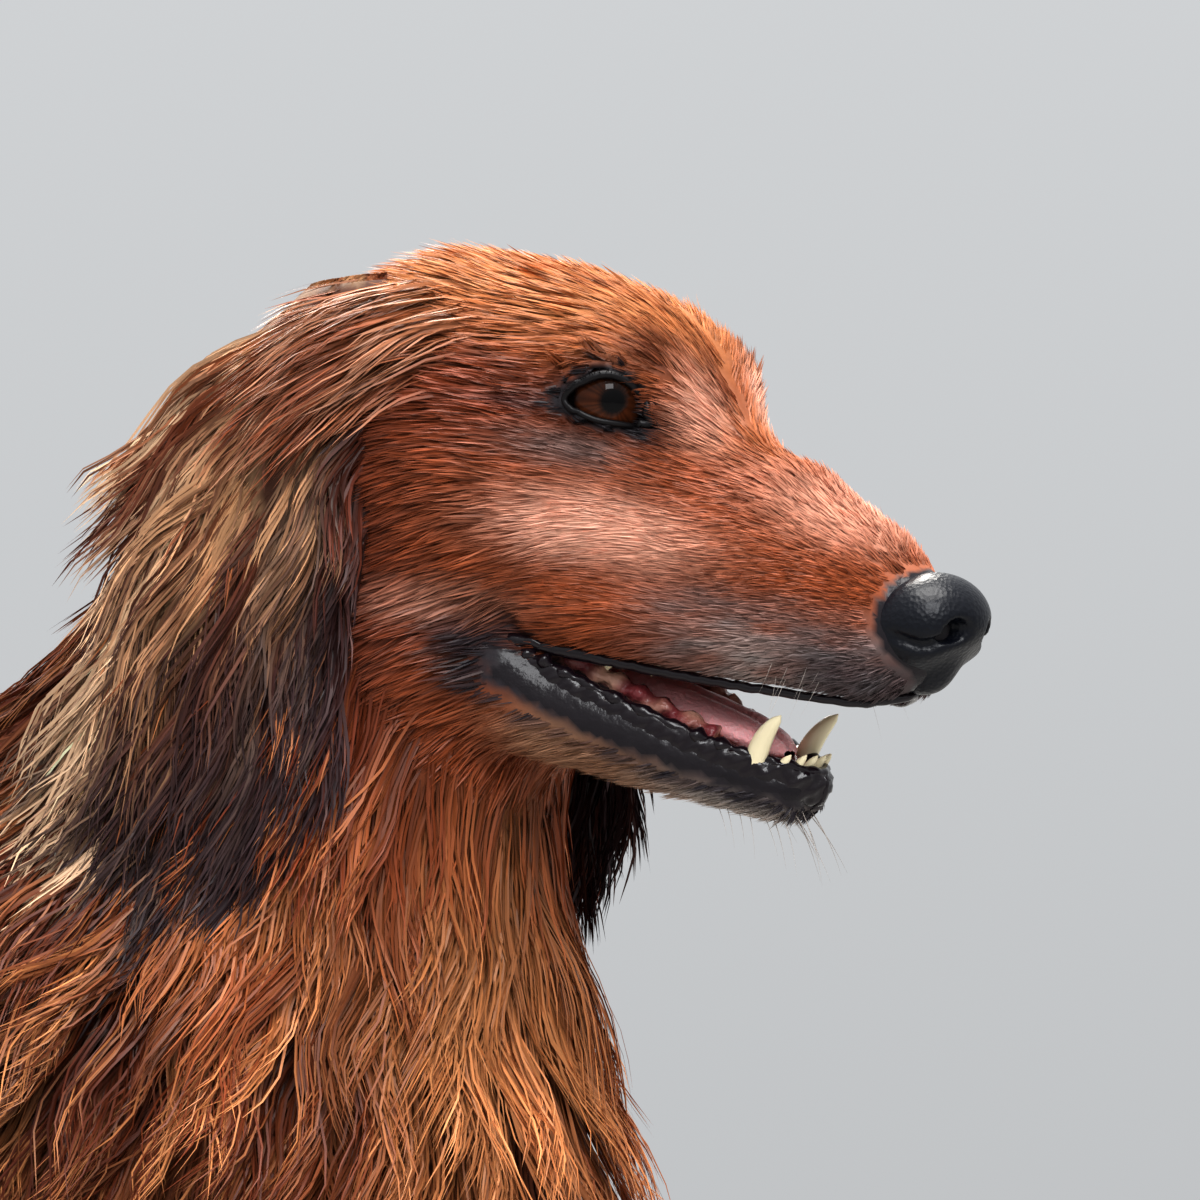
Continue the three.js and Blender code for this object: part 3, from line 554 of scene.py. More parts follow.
skin_look = painted(material("skin", 0.6, Specular_IOR_Level=0.25), noise_scale=260.0)
hair_look = painted(material("hair", 0.36, Specular_IOR_Level=0.2), noise_scale=90.0, spread=0.2)
wet_look = painted(material("wet_lining", 0.25, Specular_IOR_Level=0.3, Coat_Weight=0.2), noise_scale=160.0)
lip_look = material(
    "lip", 0.3, (0.007, 0.003, 0.006), Specular_IOR_Level=0.2, Coat_Weight=0.5, Coat_Roughness=0.12,
)
nose_look = material(
    "nose_leather", 0.38, (0.003, 0.004, 0.008),
    Specular_IOR_Level=0.22, Coat_Weight=0.15, Coat_Roughness=0.15,
)
# the tongue's pink is lighter than its own colour, as painted light where the mouth's shade falls on it
tongue_look = material(
    "tongue", 0.45, (0.95, 0.47, 0.48),
    Subsurface_Weight=0.3, Subsurface_Radius=(0.004, 0.001, 0.001), Coat_Weight=0.15,
)
tooth_look = material("teeth", 0.28, (0.86, 0.76, 0.52), Coat_Weight=0.3)
claw_look = material("claws", 0.35, (0.03, 0.022, 0.018))
lid_look = material("lid_rim", 0.4, (0.006, 0.005, 0.006), Specular_IOR_Level=0.25)
whisker_look = material("whiskers", 0.4, (0.42, 0.37, 0.33))
eye_look = painted(
    material("eye", 0.3, Specular_IOR_Level=0.0, Coat_Weight=0.6, Coat_IOR=1.36, Coat_Roughness=0.01),
    "Eye",
)
add_grain(skin_look, 420.0, 0.0004, 0.6)
add_grain(wet_look, 300.0, 0.0016)
add_grain(lip_look, 230.0, 0.0012, 0.6)
add_grain(tongue_look, 900.0, 0.0006)
add_grain(claw_look, 500.0, 0.0004)
# the nose has small pebbles of leather, and the bare skin of mouth and lips shines
pebbles = texture(nose_look, "ShaderNodeTexVoronoi", Scale=950.0)
add_bump(nose_look, pebbles.outputs["Distance"], 0.0003, 0.5)
wetness = node(skin_look, "ShaderNodeAttribute", attribute_name="Wet").outputs["Fac"]
link(skin_look, mapped(skin_look, wetness, 0.65, 0.22), shader_of(skin_look).inputs["Roughness"])


# The skin, and how far it lies inside the solids: everywhere, and that much more on the trunk
COAT_THIN, COAT_MORE = 1.2, 3.3


def coat_depth(p):
    """How far the skin lies inside the solids: little on the face and feet, more on the trunk."""
    h = to_head(p)
    face = smooth(-100, -30, h[..., 0]) * smooth(-105, -90, h[..., 2])
    low = smooth(70, 110, p[..., 2])
    return (COAT_THIN + COAT_MORE * low * (1 - face)).astype(np.float32)


eye_back = unit(np.cross([0, 0, 1], EYE_LOOKS))
eye_up = np.cross(EYE_LOOKS, eye_back)


def corner_drop(t):
    """How far the lids' corners lie below their middle: the inner one, at -1, further than the outer."""
    t = np.clip(t, -1.2, 1.2)
    return 2.4 * np.maximum(t, 0) ** 2 + 4.4 * np.maximum(-t, 0) ** 2


def eye_place(h):
    """Where points of the head's frame lie before the eye: back, up, out, and below 1 in the opening."""
    q = folded(h) - EYE_AT
    back, up, out = q @ eye_back, q @ eye_up, q @ EYE_LOOKS
    up = up + corner_drop(back / LID_HALF)
    half = np.where(back > 0, LID_OUTER, LID_HALF)
    high = np.where(up > 0, LID_UPPER, LID_LOWER) * (1 - 0.25 * np.clip(back / half, -1, 1) ** 2)
    return back, up, out, np.sqrt((back / half) ** 2 + (up / high) ** 2)


def closed_skin(p):
    """The skin with the lids shut."""
    eye = both_sides(ball(EYE_AT, [EYE_R] * 3))(to_head(p).astype(np.float32))
    return smooth_min(flesh(p) + coat_depth(p), eye - 1.6, 3)


def skin_field(p):
    h = to_head(p).astype(np.float32)
    _, _, out, opening = eye_place(h)
    eye = both_sides(ball(EYE_AT, [EYE_R] * 3))(h)
    d = closed_skin(p)
    plug = np.maximum((opening - 1) * 6, 3 - out)
    d = np.maximum(d, -np.minimum(plug, eye - 0.1))
    return np.maximum(d, 0.3 - p[..., 2])


skin_grid = Grid(
    skin_field,
    [
        spaced((-580, -60, 4), (-60, 20, 3), (20, 216, 1.8)),
        spaced((-88, 88, 2.2)),
        spaced((-6, 60, 2.5), (60, 232, 3.5), (232, 392, 1.8)),
    ],
)
skin_points, skin_quads = skin_grid.mesh()

# Lines of the mouth in the head's frame, from its corner to the front: a dividing line and the lips' edges
MOUTH_MIDDLE = ([-22, 80], [-58, -68])
LOWER_LIP = np.array([
    [-26, 29.3, -57.6], [-16, 28.2, -60.5], [0, 23.5, -65], [20, 18, -69.5],
    [35, 12.6, -72], [44, 8, -73], [49, 0, -74],
])
UPPER_LIP = np.array([
    [-26, 29.3, -57.0], [-14, 27, -56.5], [8, 22.5, -56.5], [28, 18.5, -55.8],
    [48, 13.5, -54.6], [62, 9, -53.4], [70, 0, -50],
])


def lower_lip_edge(x, axis=2):
    """How high the edge of the lower lip lies, or on axis 1 how far from the middle."""
    return np.interp(x, LOWER_LIP[:, 0], LOWER_LIP[:, axis])


def nose_leather(h):
    """The nose before its nostrils are cut."""
    return blend(
        5,
        ball([73, 0, -30], [12.2, 13.2, 10.2]),
        both_sides(ball([69.5, 7.8, -34], [11, 7, 9])),
        ball([71, 0, -41], [8.8, 6.2, 8.4]),
    )(h)


def nose_field(h):
    nostrils = both_sides(blend(
        1.5,
        limb([87, 5.8, -31, 2.9], [79, 7.4, -32, 2.9]),
        limb([84, 8.6, -34, 2.0], [77, 13, -36.5, 1.6], [68, 16.4, -35, 1.1]),
    ))
    groove = limb([88, 0, -33, 0.7], [80, 0, -47, 0.8])
    return carve(1.5, carve(1.2, nose_leather, nostrils), groove)(h)


def bare(h):
    """Where the skin is bare: on the lower lip, in the mouth, and at the eyes and nose."""
    on_jaw = h[:, 2] < np.interp(h[:, 0], *MOUTH_MIDDLE)
    lip = lower_lip_edge(h[:, 0])
    band = np.interp(h[:, 0], [-20, 0, 45], [8.5, 9.5, 7])
    low = on_jaw & (h[:, 2] > lip - band) & (h[:, 0] > -25)
    hollow = (mouth_hollow(h) < 1.5) & (h[:, 0] > -34)
    _, _, out, opening = eye_place(h)
    eye = (opening < 1.14) & (out > 1)
    nose = nose_leather(h) < 1.0
    return low, hollow, eye | nose


def ear_markings(points, u, v):
    """Red brown at the root, blond streaks behind, dark in front and towards the tips."""
    streak = 0.6 * wavy(points * [1, 1, 0.10], 12, 5) + 0.6 * wavy(points * [1, 1, 0.15], 5, 7)
    fine_streak = wavy(points * [1, 1, 0.12], 7, 9)
    warm = BLOND * [1.1, 0.96, 0.8]
    middle = smooth(-0.1, 0.2, v) * smooth(0.8, 0.6, v) * smooth(0.05, 0.2, u) * smooth(0.85, 0.6, u)
    return toned(
        np.tile(DEEP * 0.95 + [0.0, 0.006, 0.006], (len(points), 1)),
        (RED * 0.8, 0.8 * smooth(0.35, 0.05, u)),
        (RED * 0.75, 0.75 * smooth(0.45, -0.1, v) * smooth(0.8, 0.4, u)),
        (warm, 0.9 * smooth(0.0, 0.6, streak) * smooth(0.85, 0.2, v) * smooth(1.1, 0.6, u)),
        (warm, 0.65 * smooth(0.0, -0.8, v) * smooth(-0.5, 0.5, streak)),
        (CREAM, 0.7 * smooth(-0.4, -1.0, v) * smooth(-0.3, 0.6, streak)),
        (BLOND * 0.8, 0.75 * middle * smooth(-0.3, 0.4, fine_streak)),
        (DEEP * 0.6, 0.6 * smooth(0.65, 0.9, v) * smooth(0.05, 0.2, u)),
        (GOLD * 0.8, 0.6 * smooth(0.25, 0, u) * smooth(0.2, -0.5, v)),
        (BLACK * 1.5, 0.85 * smooth(0.5, 0.95, u) * smooth(0.6, -0.2, streak)),
    )


def skin_colours(points):
    """The skin's colour, that of the coat where it is haired, and how wet it is."""
    h = to_head(points)
    low, hollow, other = bare(h)
    colours = coat_colour_and_painted_light(points) * 0.8
    wet = np.zeros(len(points))
    colours[low] = BLACK * 0.9
    inside = hollow | (low & (np.abs(h[:, 1]) < lower_lip_edge(h[:, 0], 1) - 4))
    pink = smooth(-0.5, 0.8, wavy(h, 18, 9))[:, None]
    colours = np.where(inside[:, None], INNER * 0.7 + (PINK * 0.5 - INNER * 0.5) * pink * 0.5, colours)
    colours[other] = BLACK
    wet[low | inside | other] = 1
    return colours, wet


skin = make_mesh("skin", skin_points, skin_quads, skin_look)
tint, wet = skin_colours(skin_points)
paint(skin, "Coat", tint)
paint(skin, "Wet", np.repeat(wet[:, None], 3, axis=1))


# Tubes, for the lips and the rims of the lids
def spline(points, count, closed=False):
    """A smooth line through points."""
    points = np.asarray(points, float)
    n = len(points)
    t = np.linspace(0, n if closed else n - 1, count, endpoint=not closed)
    i = np.minimum(t.astype(int), n - 1 if closed else n - 2)
    f = (t - i)[:, None]

    def at(k):
        return points[k % n] if closed else points[np.clip(k, 0, n - 1)]

    a, b, c, d = at(i - 1), at(i), at(i + 1), at(i + 2)
    return 0.5 * (2 * b + (c - a) * f + (2 * a - 5 * b + 4 * c - d) * f**2 + (3 * b - a - 3 * c + d) * f**3)


def tube_mesh(path, wide, high, up, sides=12, closed=False, bumps=0.0):
    """Points and triangles of a tube along a path, wide across its up direction and high along it."""
    path, up = np.asarray(path, float), np.asarray(up, float)
    ahead = unit(np.roll(path, -1, 0) - np.roll(path, 1, 0)) if closed else unit(np.gradient(path, axis=0))
    up = unit(up - np.sum(up * ahead, axis=1, keepdims=True) * ahead)
    side = np.cross(ahead, up)
    n = len(path)
    wide, high = (np.broadcast_to(np.asarray(v, float), (n,)) for v in (wide, high))
    a = turns(sides)
    rings = (
        path[:, None]
        + side[:, None] * (np.cos(a) * wide[:, None])[..., None]
        + up[:, None] * (np.sin(a) * high[:, None])[..., None]
    )
    if bumps:
        out = unit(rings - path[:, None])
        relief = wavy(rings.reshape(-1, 3), 3.2, 21).reshape(n, sides, 1)
        rings = rings + out * relief * bumps
    faces = []
    for i in range(n if closed else n - 1):
        j = (i + 1) % n
        for s in range(sides):
            t = (s + 1) % sides
            faces.append([i * sides + s, j * sides + s, j * sides + t])
            faces.append([i * sides + s, j * sides + t, i * sides + t])
    points = rings.reshape(-1, 3)
    if not closed:
        for ring, order in ((0, 1), (n - 1, -1)):
            points = np.vstack([points, path[ring]])
            for s in range(sides):
                pair = [ring * sides + s, ring * sides + (s + 1) % sides][::order]
                faces.append([*pair, len(points) - 1])
    return points, np.array(faces)


def both_ways(half):
    """A line given on the animal's left, run on over to its right."""
    return np.vstack([half, (half * [1, -1, 1])[-2::-1]])


def tube_piece(name, look, *shape, **finish):
    """A tube of the head's frame as a piece."""
    points, faces = tube_mesh(*shape, **finish)
    return make_mesh(name, to_world(points), faces, look)


def wrap(rings, sides):
    """Quads between rings of points that close on themselves."""
    i, k = np.divmod(np.arange((rings - 1) * sides), sides)
    here, there, beside = i * sides, (i + 1) * sides, (k + 1) % sides
    return np.stack([here + k, here + beside, there + beside, there + k], axis=-1)


def joined(parts):
    """One mesh from several, each given as its points and faces."""
    starts = np.cumsum([0] + [len(points) for points, _ in parts[:-1]])
    faces = [faces + start for (_, faces), start in zip(parts, starts)]
    return np.vstack([points for points, _ in parts]), np.vstack(faces)


# Lines on the left of the mouth: the ridge inside the cheek, and the fold at the mouth's corner
CHEEK_RIDGE = np.array([
    [-24, 23, -55], [-12, 20.5, -59], [0, 18, -62.5], [12, 15.5, -66], [26, 12.5, -69.5],
])
CORNER_FOLD = np.array([
    [-17, 27.8, -56.4], [-24, 29.3, -56.6], [-28.5, 30.4, -59], [-27, 30.6, -63], [-20, 29.8, -66],
])
UPRIGHT = [0.0, 0.0, 1.0]


def add_lips():
    low = spline(both_ways(LOWER_LIP), 220)
    x = low[:, 0]
    out = np.stack([np.zeros(len(low)), np.sign(low[:, 1]) * 0.35, np.ones(len(low))], axis=-1)
    high = np.interp(x, [-26, -14, 20, 49], [1.0, 5.0, 5.8, 4.4])
    wide = np.interp(x, [-26, -10, 20, 49], [1.0, 2.8, 3.0, 2.8])
    sag = np.interp(x, [-26, -12, 20, 49], [1.0, 4.0, 4.4, 3.2])
    lower = tube_piece("lower_lip", lip_look, low - out * sag[:, None], wide, high, out, 20, bumps=0.6)
    fringe = 1.25 + 0.8 * np.sin(np.arange(220) * 0.95) * smooth(46, 30, x) * (0.6 + 0.4 * np.sin(x * 0.31))
    crest = low + [0, 0, 0.6]
    papillae = tube_piece("lip_papillae", lip_look, crest, fringe * 1.2, fringe, out, bumps=0.35)
    up = spline(both_ways(UPPER_LIP), 150)
    thick = np.interp(up[:, 0], [-26, -10, 0, 50, 70], [0.7, 1.6, 1.1, 0.9, 0.9])
    upper = tube_piece("upper_lip", lip_look, up, thick, thick * 1.2, UPRIGHT, bumps=0.2)


def add_mouth_sides():
    """The ridges inside the cheeks and the folds at the corners of the mouth."""
    for side, hand in SIDES:
        line = spline(CHEEK_RIDGE * [1, side, 1], 60)
        thick = 2.6 + 0.5 * np.sin(np.arange(60) * 0.9)
        points, faces = tube_mesh(line, thick, thick, UPRIGHT, bumps=0.5)
        gum = make_mesh(f"inner_cheek_{hand}", to_world(points), faces, wet_look)
        pink = smooth(-0.4, 0.8, wavy(points, 9, 4))
        paint(gum, "Coat", toned(np.tile(INNER, (len(points), 1)), (PINK * 0.8, pink)))
    for side, hand in SIDES:
        line = spline(CORNER_FOLD * [1, side, 1], 40)
        thick = 1.0 + 1.3 * np.sin(np.linspace(0, math.pi, 40))
        out = [0.0, side, 0.0]
        corner = tube_piece(f"mouth_corner_{hand}", lip_look, line, thick, thick, out, bumps=0.25)


def add_nose():
    axes = [spaced((54, 90, 0.7)), spaced((-19, 19, 0.7)), spaced((-52, -16, 0.7))]
    points, faces = Grid(nose_field, axes).mesh()
    nose = make_mesh("nose_leather", to_world(points), faces, nose_look)
    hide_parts("nose")


# The tongue's rings: place along the head, height, half-width and half-thickness
TONGUE = [
    [-24, -64, 11, 3.0], [-14, -64.2, 13.2, 4.4], [2, -65.2, 13.2, 4.8], [18, -66.6, 11.8, 4.6],
    [31, -68.8, 9.8, 3.9], [37, -70.2, 6.8, 2.6], [39.5, -70.8, 2.5, 1.0],
]


def add_tongue():
    rings, sides = spline(TONGUE, 40), 28
    a = turns(sides)
    groove = 1.4 * np.exp(-((np.cos(a) / 0.18) ** 2)) * (np.sin(a) > 0)
    x = np.repeat(rings[:, :1], sides, axis=1)
    y = np.cos(a) * rings[:, 2:3]
    z = rings[:, 1:2] + np.sin(a) * rings[:, 3:4] - groove * np.minimum(1, rings[:, 3:4] / 3)
    points = np.stack([x, y, z], axis=-1).reshape(-1, 3)
    points += 0.35 * wavy(points, 7, 8)[:, None] * [0, 0, 1]
    tongue = make_mesh("tongue_flesh", to_world(points), wrap(len(rings), sides)[:, ::-1], tongue_look)
    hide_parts("tongue")


# Teeth: root, tip and thickness, for both sides
LOWER_TEETH = [
    [37, 10.5, -78, 43, 13, -60.5, 6.0],
    [44.5, 1.9, -80, 48.4, 1.9, -69.2, 3.2],
    [43.8, 5.4, -80, 47.6, 5.6, -69.2, 3.3],
    [41.5, 8.4, -80, 45.4, 9, -69.6, 3.4],
    [26, 12, -78, 28, 13, -69, 3.0],
    [14, 14.5, -78, 15, 15.5, -66.5, 3.8],
]
UPPER_TEETH = [[-4, 20, -46, -3.5, 19.4, -60, 4.6], [8, 18.5, -46, 8.5, 17.8, -58.5, 3.8]]


def tooth(root, tip, thick):
    """A round tapered tooth that bends a little back."""
    axis = unit(tip - root)
    ahead = unit(np.cross([0, 1, 0], axis))
    across = np.cross(axis, ahead)
    rings, sides = 12, 14
    s = np.linspace(0, 1, rings)[:, None]
    centre = root + (tip - root) * s - ahead * thick * 1.3 * s * (1 - s)
    radius = thick / 2 * np.sqrt(np.maximum(1 - s**2.2, 0.002))
    a = turns(sides)
    ring = ahead * np.cos(a)[:, None] + across * 0.78 * np.sin(a)[:, None]
    return (centre[:, None] + ring[None] * radius[:, None]).reshape(-1, 3), wrap(rings, sides)


def add_teeth():
    parts = []
    for row in LOWER_TEETH + UPPER_TEETH:
        for side, _ in SIDES:
            mirror = [1, side, 1]
            parts.append(tooth(np.array(row[:3]) * mirror, np.array(row[3:6]) * mirror, row[6]))
    points, faces = joined(parts)
    teeth = make_mesh("teeth", to_world(points), faces, tooth_look)


def add_eyes():
    rings, sides = 60, 64
    for side, hand in SIDES:
        gaze = unit(EYE_GAZE * [1, side, 1])
        across = unit(np.cross([0, 0, 1], gaze))
        up = np.cross(gaze, across)
        away = np.linspace(0.001, math.pi - 0.001, rings)
        from_gaze, round_it = np.meshgrid(away, turns(sides), indexing="ij")
        radius = (EYE_R + smooth(0.66, 0.2, from_gaze))[..., None]
        ways = (
            gaze * np.cos(from_gaze)[..., None]
            + across * (np.sin(from_gaze) * np.cos(round_it))[..., None]
            + up * (np.sin(from_gaze) * np.sin(round_it))[..., None]
        )
        points = (EYE_AT * [1, side, 1] + ways * radius).reshape(-1, 3)
        a, turn = from_gaze.ravel(), round_it.ravel()
        # painted shade and painted light on the iris: darker towards its top, lighter and amber towards its
        # bottom
        lift = np.sin(turn) * np.minimum(1, a * 3)
        rays = 1 + 0.35 * np.sin(turn * 23 + 2 * np.sin(turn * 7))
        iris = IRIS * rays[:, None] * (1.0 - 0.8 * lift)[:, None]
        colour = toned(
            np.tile(EYE_WHITE, (len(a), 1)),
            (BLACK * 0.2, smooth(1.0, 0.85, a)),
            (iris, smooth(0.86, 0.70, a)),
            (BLACK * 0.1, smooth(0.36, 0.20, a)),
        )
        eye = make_mesh(f"eyeball_{hand}", to_world(points), wrap(rings, sides)[:, ::-1], eye_look)
        paint(eye, "Eye", colour)
        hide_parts(f"eye_{hand}")
        add_lid_rim(side, hand)


def out_to_skin(points, over):
    """Points of the head's frame, brought out until they lie over the closed lids' skin."""
    at = to_world(points)
    for _ in range(4):
        steps = np.eye(3) * 0.5
        slope = np.stack([closed_skin(at + step) - closed_skin(at - step) for step in steps], axis=-1)
        at = at + unit(slope) * np.maximum(over - closed_skin(at), 0)[:, None]
    return to_head(at)


def lid_line(side, count=72):
    """The almond-shaped edge of the lids on the eyeball, and the ways away from its middle."""
    a = turns(count)
    back = np.cos(a) * np.where(np.cos(a) > 0, LID_OUTER, LID_HALF)
    back = back - 1.8 * (np.cos(a) < 0) * np.abs(np.cos(a)) ** 5
    high = np.where(np.sin(a) > 0, LID_UPPER, LID_LOWER)
    up = np.sin(a) * high * (1 - 0.25 * np.cos(a) ** 2) - corner_drop(back / LID_HALF)
    out = np.sqrt(np.maximum((EYE_R + 0.7) ** 2 - 0.9 * (back**2 + up**2), 6.0))
    mirror = np.array([1, side, 1])
    line = EYE_AT + back[:, None] * eye_back + up[:, None] * eye_up + out[:, None] * EYE_LOOKS
    away = back[:, None] * eye_back + up[:, None] * eye_up
    corner = (np.abs(np.cos(a)) > 0.75)[:, None]
    line = np.where(corner, out_to_skin(line, 0.1), line)
    return line * mirror, unit(away) * mirror


def add_lid_rim(side, hand):
    line, away = lid_line(side)
    a = turns(len(line))
    thick = 0.85 + 0.35 * (np.cos(a) < -0.8) + 0.35 * np.maximum(np.sin(a), 0)
    rim = tube_piece(f"lid_rim_{hand}", lid_look, line, thick, thick * 0.9, away, 10, closed=True)


def add_claws():
    parts = []
    paws = [(FORE["toes"], FORE_SIZE, 0, 1), (FORE["toes"], FORE_SIZE, 0, -1)]
    paws += [(HIND["toes"], HIND_SIZE, 0, 1), (HIND["toes"], HIND_SIZE, HIND_STEP, -1)]
    for (x, y), size, back, mirror in paws:
        for across, ahead, _ in TOES:
            at = np.array([x + (ahead + 11) * size - back, (y + across * size) * mirror, 0])
            line = at + spline([[-6, 0, 13], [3, 0, 12], [8, 0, 8.5], [10, 0, 5]], 12)
            thick = np.interp(np.arange(12), [0, 4, 11], [2.6, 2.3, 0.25])
            parts.append(tube_mesh(line, thick * 0.7, thick, [0.3, 0.0, 1.0], 10))
    claws = make_mesh("claws", *joined(parts), claw_look)


for add in (add_lips, add_mouth_sides, add_nose, add_tongue, add_teeth, add_eyes, add_claws):
    add()

# Ears: the flap of the solids, finer. Each station: drop below the root, way out, half-width
EAR = np.array([
    [-8, -9, 14], [6, 4, 23], [28, 13, 29], [54, 18, 31], [82, 20, 29], [104, 20, 22], [118, 19, 11],
])
EAR_CURL = 9.0
EAR_LEAN = {1: 0.06, -1: -0.16}  # how far each ear swings ahead, by its side


def ear_points(side, u, v, depth):
    """Points of a flap: u from root to end, v from back edge to front, depth from its outside."""
    v = np.where(v > 0, v * (0.64 + 0.36 * u), v)
    root = to_world([-86, 42 * side, 12])
    stations = np.linspace(0, 1, len(EAR))
    drop, out, half = (np.interp(u, stations, EAR[:, i]) for i in range(3))
    return np.stack([
        root[0] + EAR_LEAN[side] * drop + v * half,
        root[1] + side * (out - EAR_CURL * v * v - depth),
        root[2] - drop + 0.1 * v * half,
    ], axis=-1)


def add_ear(side, hand):
    rows, columns = 40, 25
    u, v = np.meshgrid(np.linspace(0.02, 0.985, rows), np.linspace(-0.97, 0.97, columns), indexing="ij")
    outer = ear_points(side, u, v, 1.6).reshape(-1, 3)
    inner = ear_points(side, u, v * 0.97, 4.8).reshape(-1, 3)
    quads = wrap(rows, columns).reshape(rows - 1, columns, 4)[:, :-1].reshape(-1, 4)
    n = len(outer)
    at = np.arange(n).reshape(rows, columns)
    rim = [*at[:, 0], *at[-1, 1:], *at[-2::-1, -1], *at[0, -2:0:-1]]
    wall = np.array([[a, b, b + n, a + n] for a, b in zip(rim, rim[1:] + rim[:1])])
    if side > 0:
        faces = np.vstack([quads[:, ::-1], quads + n, wall[:, ::-1]])
    else:
        faces = np.vstack([quads, quads[:, ::-1] + n, wall])
    flap = make_mesh(f"ear_flap_{hand}", np.vstack([outer, inner]), faces, skin_look)
    tint = ear_markings(outer, u.ravel(), v.ravel()) * 0.3
    paint(flap, "Coat", np.vstack([tint, tint * 0.5]))
    paint(flap, "Wet", np.zeros((2 * n, 3)))
    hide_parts(f"ear_{hand}")


for side, hand in SIDES:
    add_ear(side, hand)

LIMBS = ("foreleg", "hindleg", "front_paw", "hind_paw")
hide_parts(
    "head", "jaw", "neck", "torso", "tail",
    *[f"{part}_{hand}" for part in LIMBS for hand in ("left", "right")],
)

# The coat: guide curves grow over the skin, and each tuft follows the guide nearest to its root
DOWN = np.array([0, 0, -1.0])
LOWEST_HAIR = 0.8
PATCH = 0.003  # the side of a tuft's patch on the unwrap


class Surface:
    """Triangles that tufts can be scattered on."""

    def __init__(self, points, quads):
        self.triangles = np.vstack([quads[:, [0, 1, 2]], quads[:, [0, 2, 3]]])
        self.points = points
        corners = points[self.triangles]
        across = np.cross(corners[:, 1] - corners[:, 0], corners[:, 2] - corners[:, 0])
        self.area = np.linalg.norm(across, axis=1) / 2
        self.centres = corners.mean(axis=1)
        normals = np.zeros_like(points)
        for i in range(3):
            np.add.at(normals, self.triangles[:, i], across)
        self.normals = unit(normals)

    def scatter(self, count, density):
        """Roots and the ways out of the skin there, thick where density is high."""
        weight = self.area * density
        pick = rng.choice(len(weight), count, p=weight / weight.sum())
        a, b = rng.random((2, count))
        turned = a + b > 1
        a, b = np.where(turned, 1 - a, a), np.where(turned, 1 - b, b)
        shares = np.stack([1 - a - b, a, b], axis=-1)[..., None]
        corners = self.triangles[pick]
        out = unit((self.normals[corners] * shares).sum(axis=1))
        return (self.points[corners] * shares).sum(axis=1), out


def grow(roots, out, lie, length, style):
    """Curves that leave the skin, follow their lie, hang, and rest on the coat below."""
    heading = unit(lie - np.sum(lie * out, axis=1, keepdims=True) * out)
    heading = unit(heading + out * style.lift)
    line = [roots - out * 0.8]
    for i in range(style.steps):
        ahead = line[-1] + heading * (length / style.steps)[:, None]
        low = np.maximum(style.ride * min(1, (i + 1) / 2) - skin_grid.at(ahead), 0)
        pressed = low > 0
        if pressed.any():
            ahead[pressed] += skin_grid.slope(ahead[pressed]) * low[pressed, None]
        line.append(ahead)
        heading = unit(unit(line[-1] - line[-2]) * 0.7 + heading * 0.3 + DOWN * style.droop)
    return np.stack(line, axis=1)


def sway_field(points, size, seed):
    """A soft noise of vectors, so that neighbouring tufts turn the same way."""
    return np.stack([wavy(points, size, seed + i) for i in range(3)], axis=-1)


def nearest(points, others):
    """For each point, the index of the nearest of the others."""
    tree = KDTree(len(others))
    for i, p in enumerate(others):
        tree.insert(p, i)
    tree.balance()
    return np.array([tree.find(p)[1] for p in points])


class Style:
    """How the coat of one place grows. Lengths and widths are in millimetres."""

    steps = 4  # joints along a tuft
    lift = 0.25  # how steeply it leaves the skin
    droop = 0.04  # how much it hangs
    ride = 1.0  # how high it stays over the skin
    clump = 0.6  # how far the tufts of a lock come together
    per_guide = 14  # tufts in a lock
    wave = 0.0  # how far a lock swings to its sides
    curl = 26.0  # the length of one swing
    spread = 0.12  # how much locks differ in their way
    depth = 0.6  # brightness at the root, darkened as painted shade deep in the coat
    tip = 1.15  # brightness at the tip, the light end of that painted shade
    strays = 0.03  # the share of tufts that leave their lock
    uneven = 0.16  # how much tufts differ in brightness

    def __init__(self, length, width, **changes):
        self.length, self.width = length, width
        self.__dict__.update(changes)


def swung(guides, roots, out, length, style):
    """The guide curves with a swing to their sides and a smaller one up and down."""
    s = np.linspace(0, 1, style.steps + 1)
    side = unit(np.cross(unit(guides[:, -1] - guides[:, 0]), out))
    phase = 3 * wavy(roots, 45, 50)[:, None] + rng.normal(0, 0.5, (len(roots), 1))
    pitch = style.curl * rng.uniform(0.9, 1.15, (len(roots), 1))
    turn = length[:, None] * s / pitch * FULL_TURN + phase
    sway = np.sin(turn) * style.wave * s**0.7
    rise = np.cos(turn) * style.wave * 0.4 * s**0.7
    return guides + side[:, None] * sway[..., None] + out[:, None] * rise[..., None]


def tuft_lines(roots, out, lie, length, style):
    """The middle line of each tuft, and the number of the lock that it belongs to."""
    count = len(roots)
    chosen = rng.choice(count, max(8, count // style.per_guide), replace=False)
    bent = lie[chosen] + sway_field(roots[chosen], 34, 40) * style.spread
    bent += rng.normal(0, style.spread * 0.35, (len(chosen), 3))
    guides = grow(roots[chosen], out[chosen], bent, length[chosen], style)
    if style.wave:
        guides = swung(guides, roots[chosen], out[chosen], length[chosen], style)
    lock = nearest(roots, roots[chosen])
    guide = guides[lock]
    start = guide[:, :1]
    offset = (roots - roots[chosen][lock])[:, None]
    s = np.linspace(0, 1, style.steps + 1)
    clump = style.clump * rng.uniform(0.5, 1.2, count)
    clump[rng.random(count) < style.strays] = -0.5
    hold = 1 - clump[:, None] * s**1.1
    jitter = rng.normal(0, 1, (count, 1, 3)) * (length * 0.03)[:, None, None] * s[None, :, None] ** 1.5
    reach = (length / length[chosen][lock])[:, None, None]
    line = start + (guide - start) * np.clip(reach, 0.6, 1.5) + offset * hold[..., None] + jitter
    flat = line[:, 1:].reshape(-1, 3)
    low = np.maximum(0.35 * style.ride - skin_grid.at(flat), 0).reshape(count, -1, 1)
    line[:, 1:] += out[:, None] * np.minimum(low, 4)
    line[..., 2] = np.maximum(line[..., 2], LOWEST_HAIR)
    return line, lock


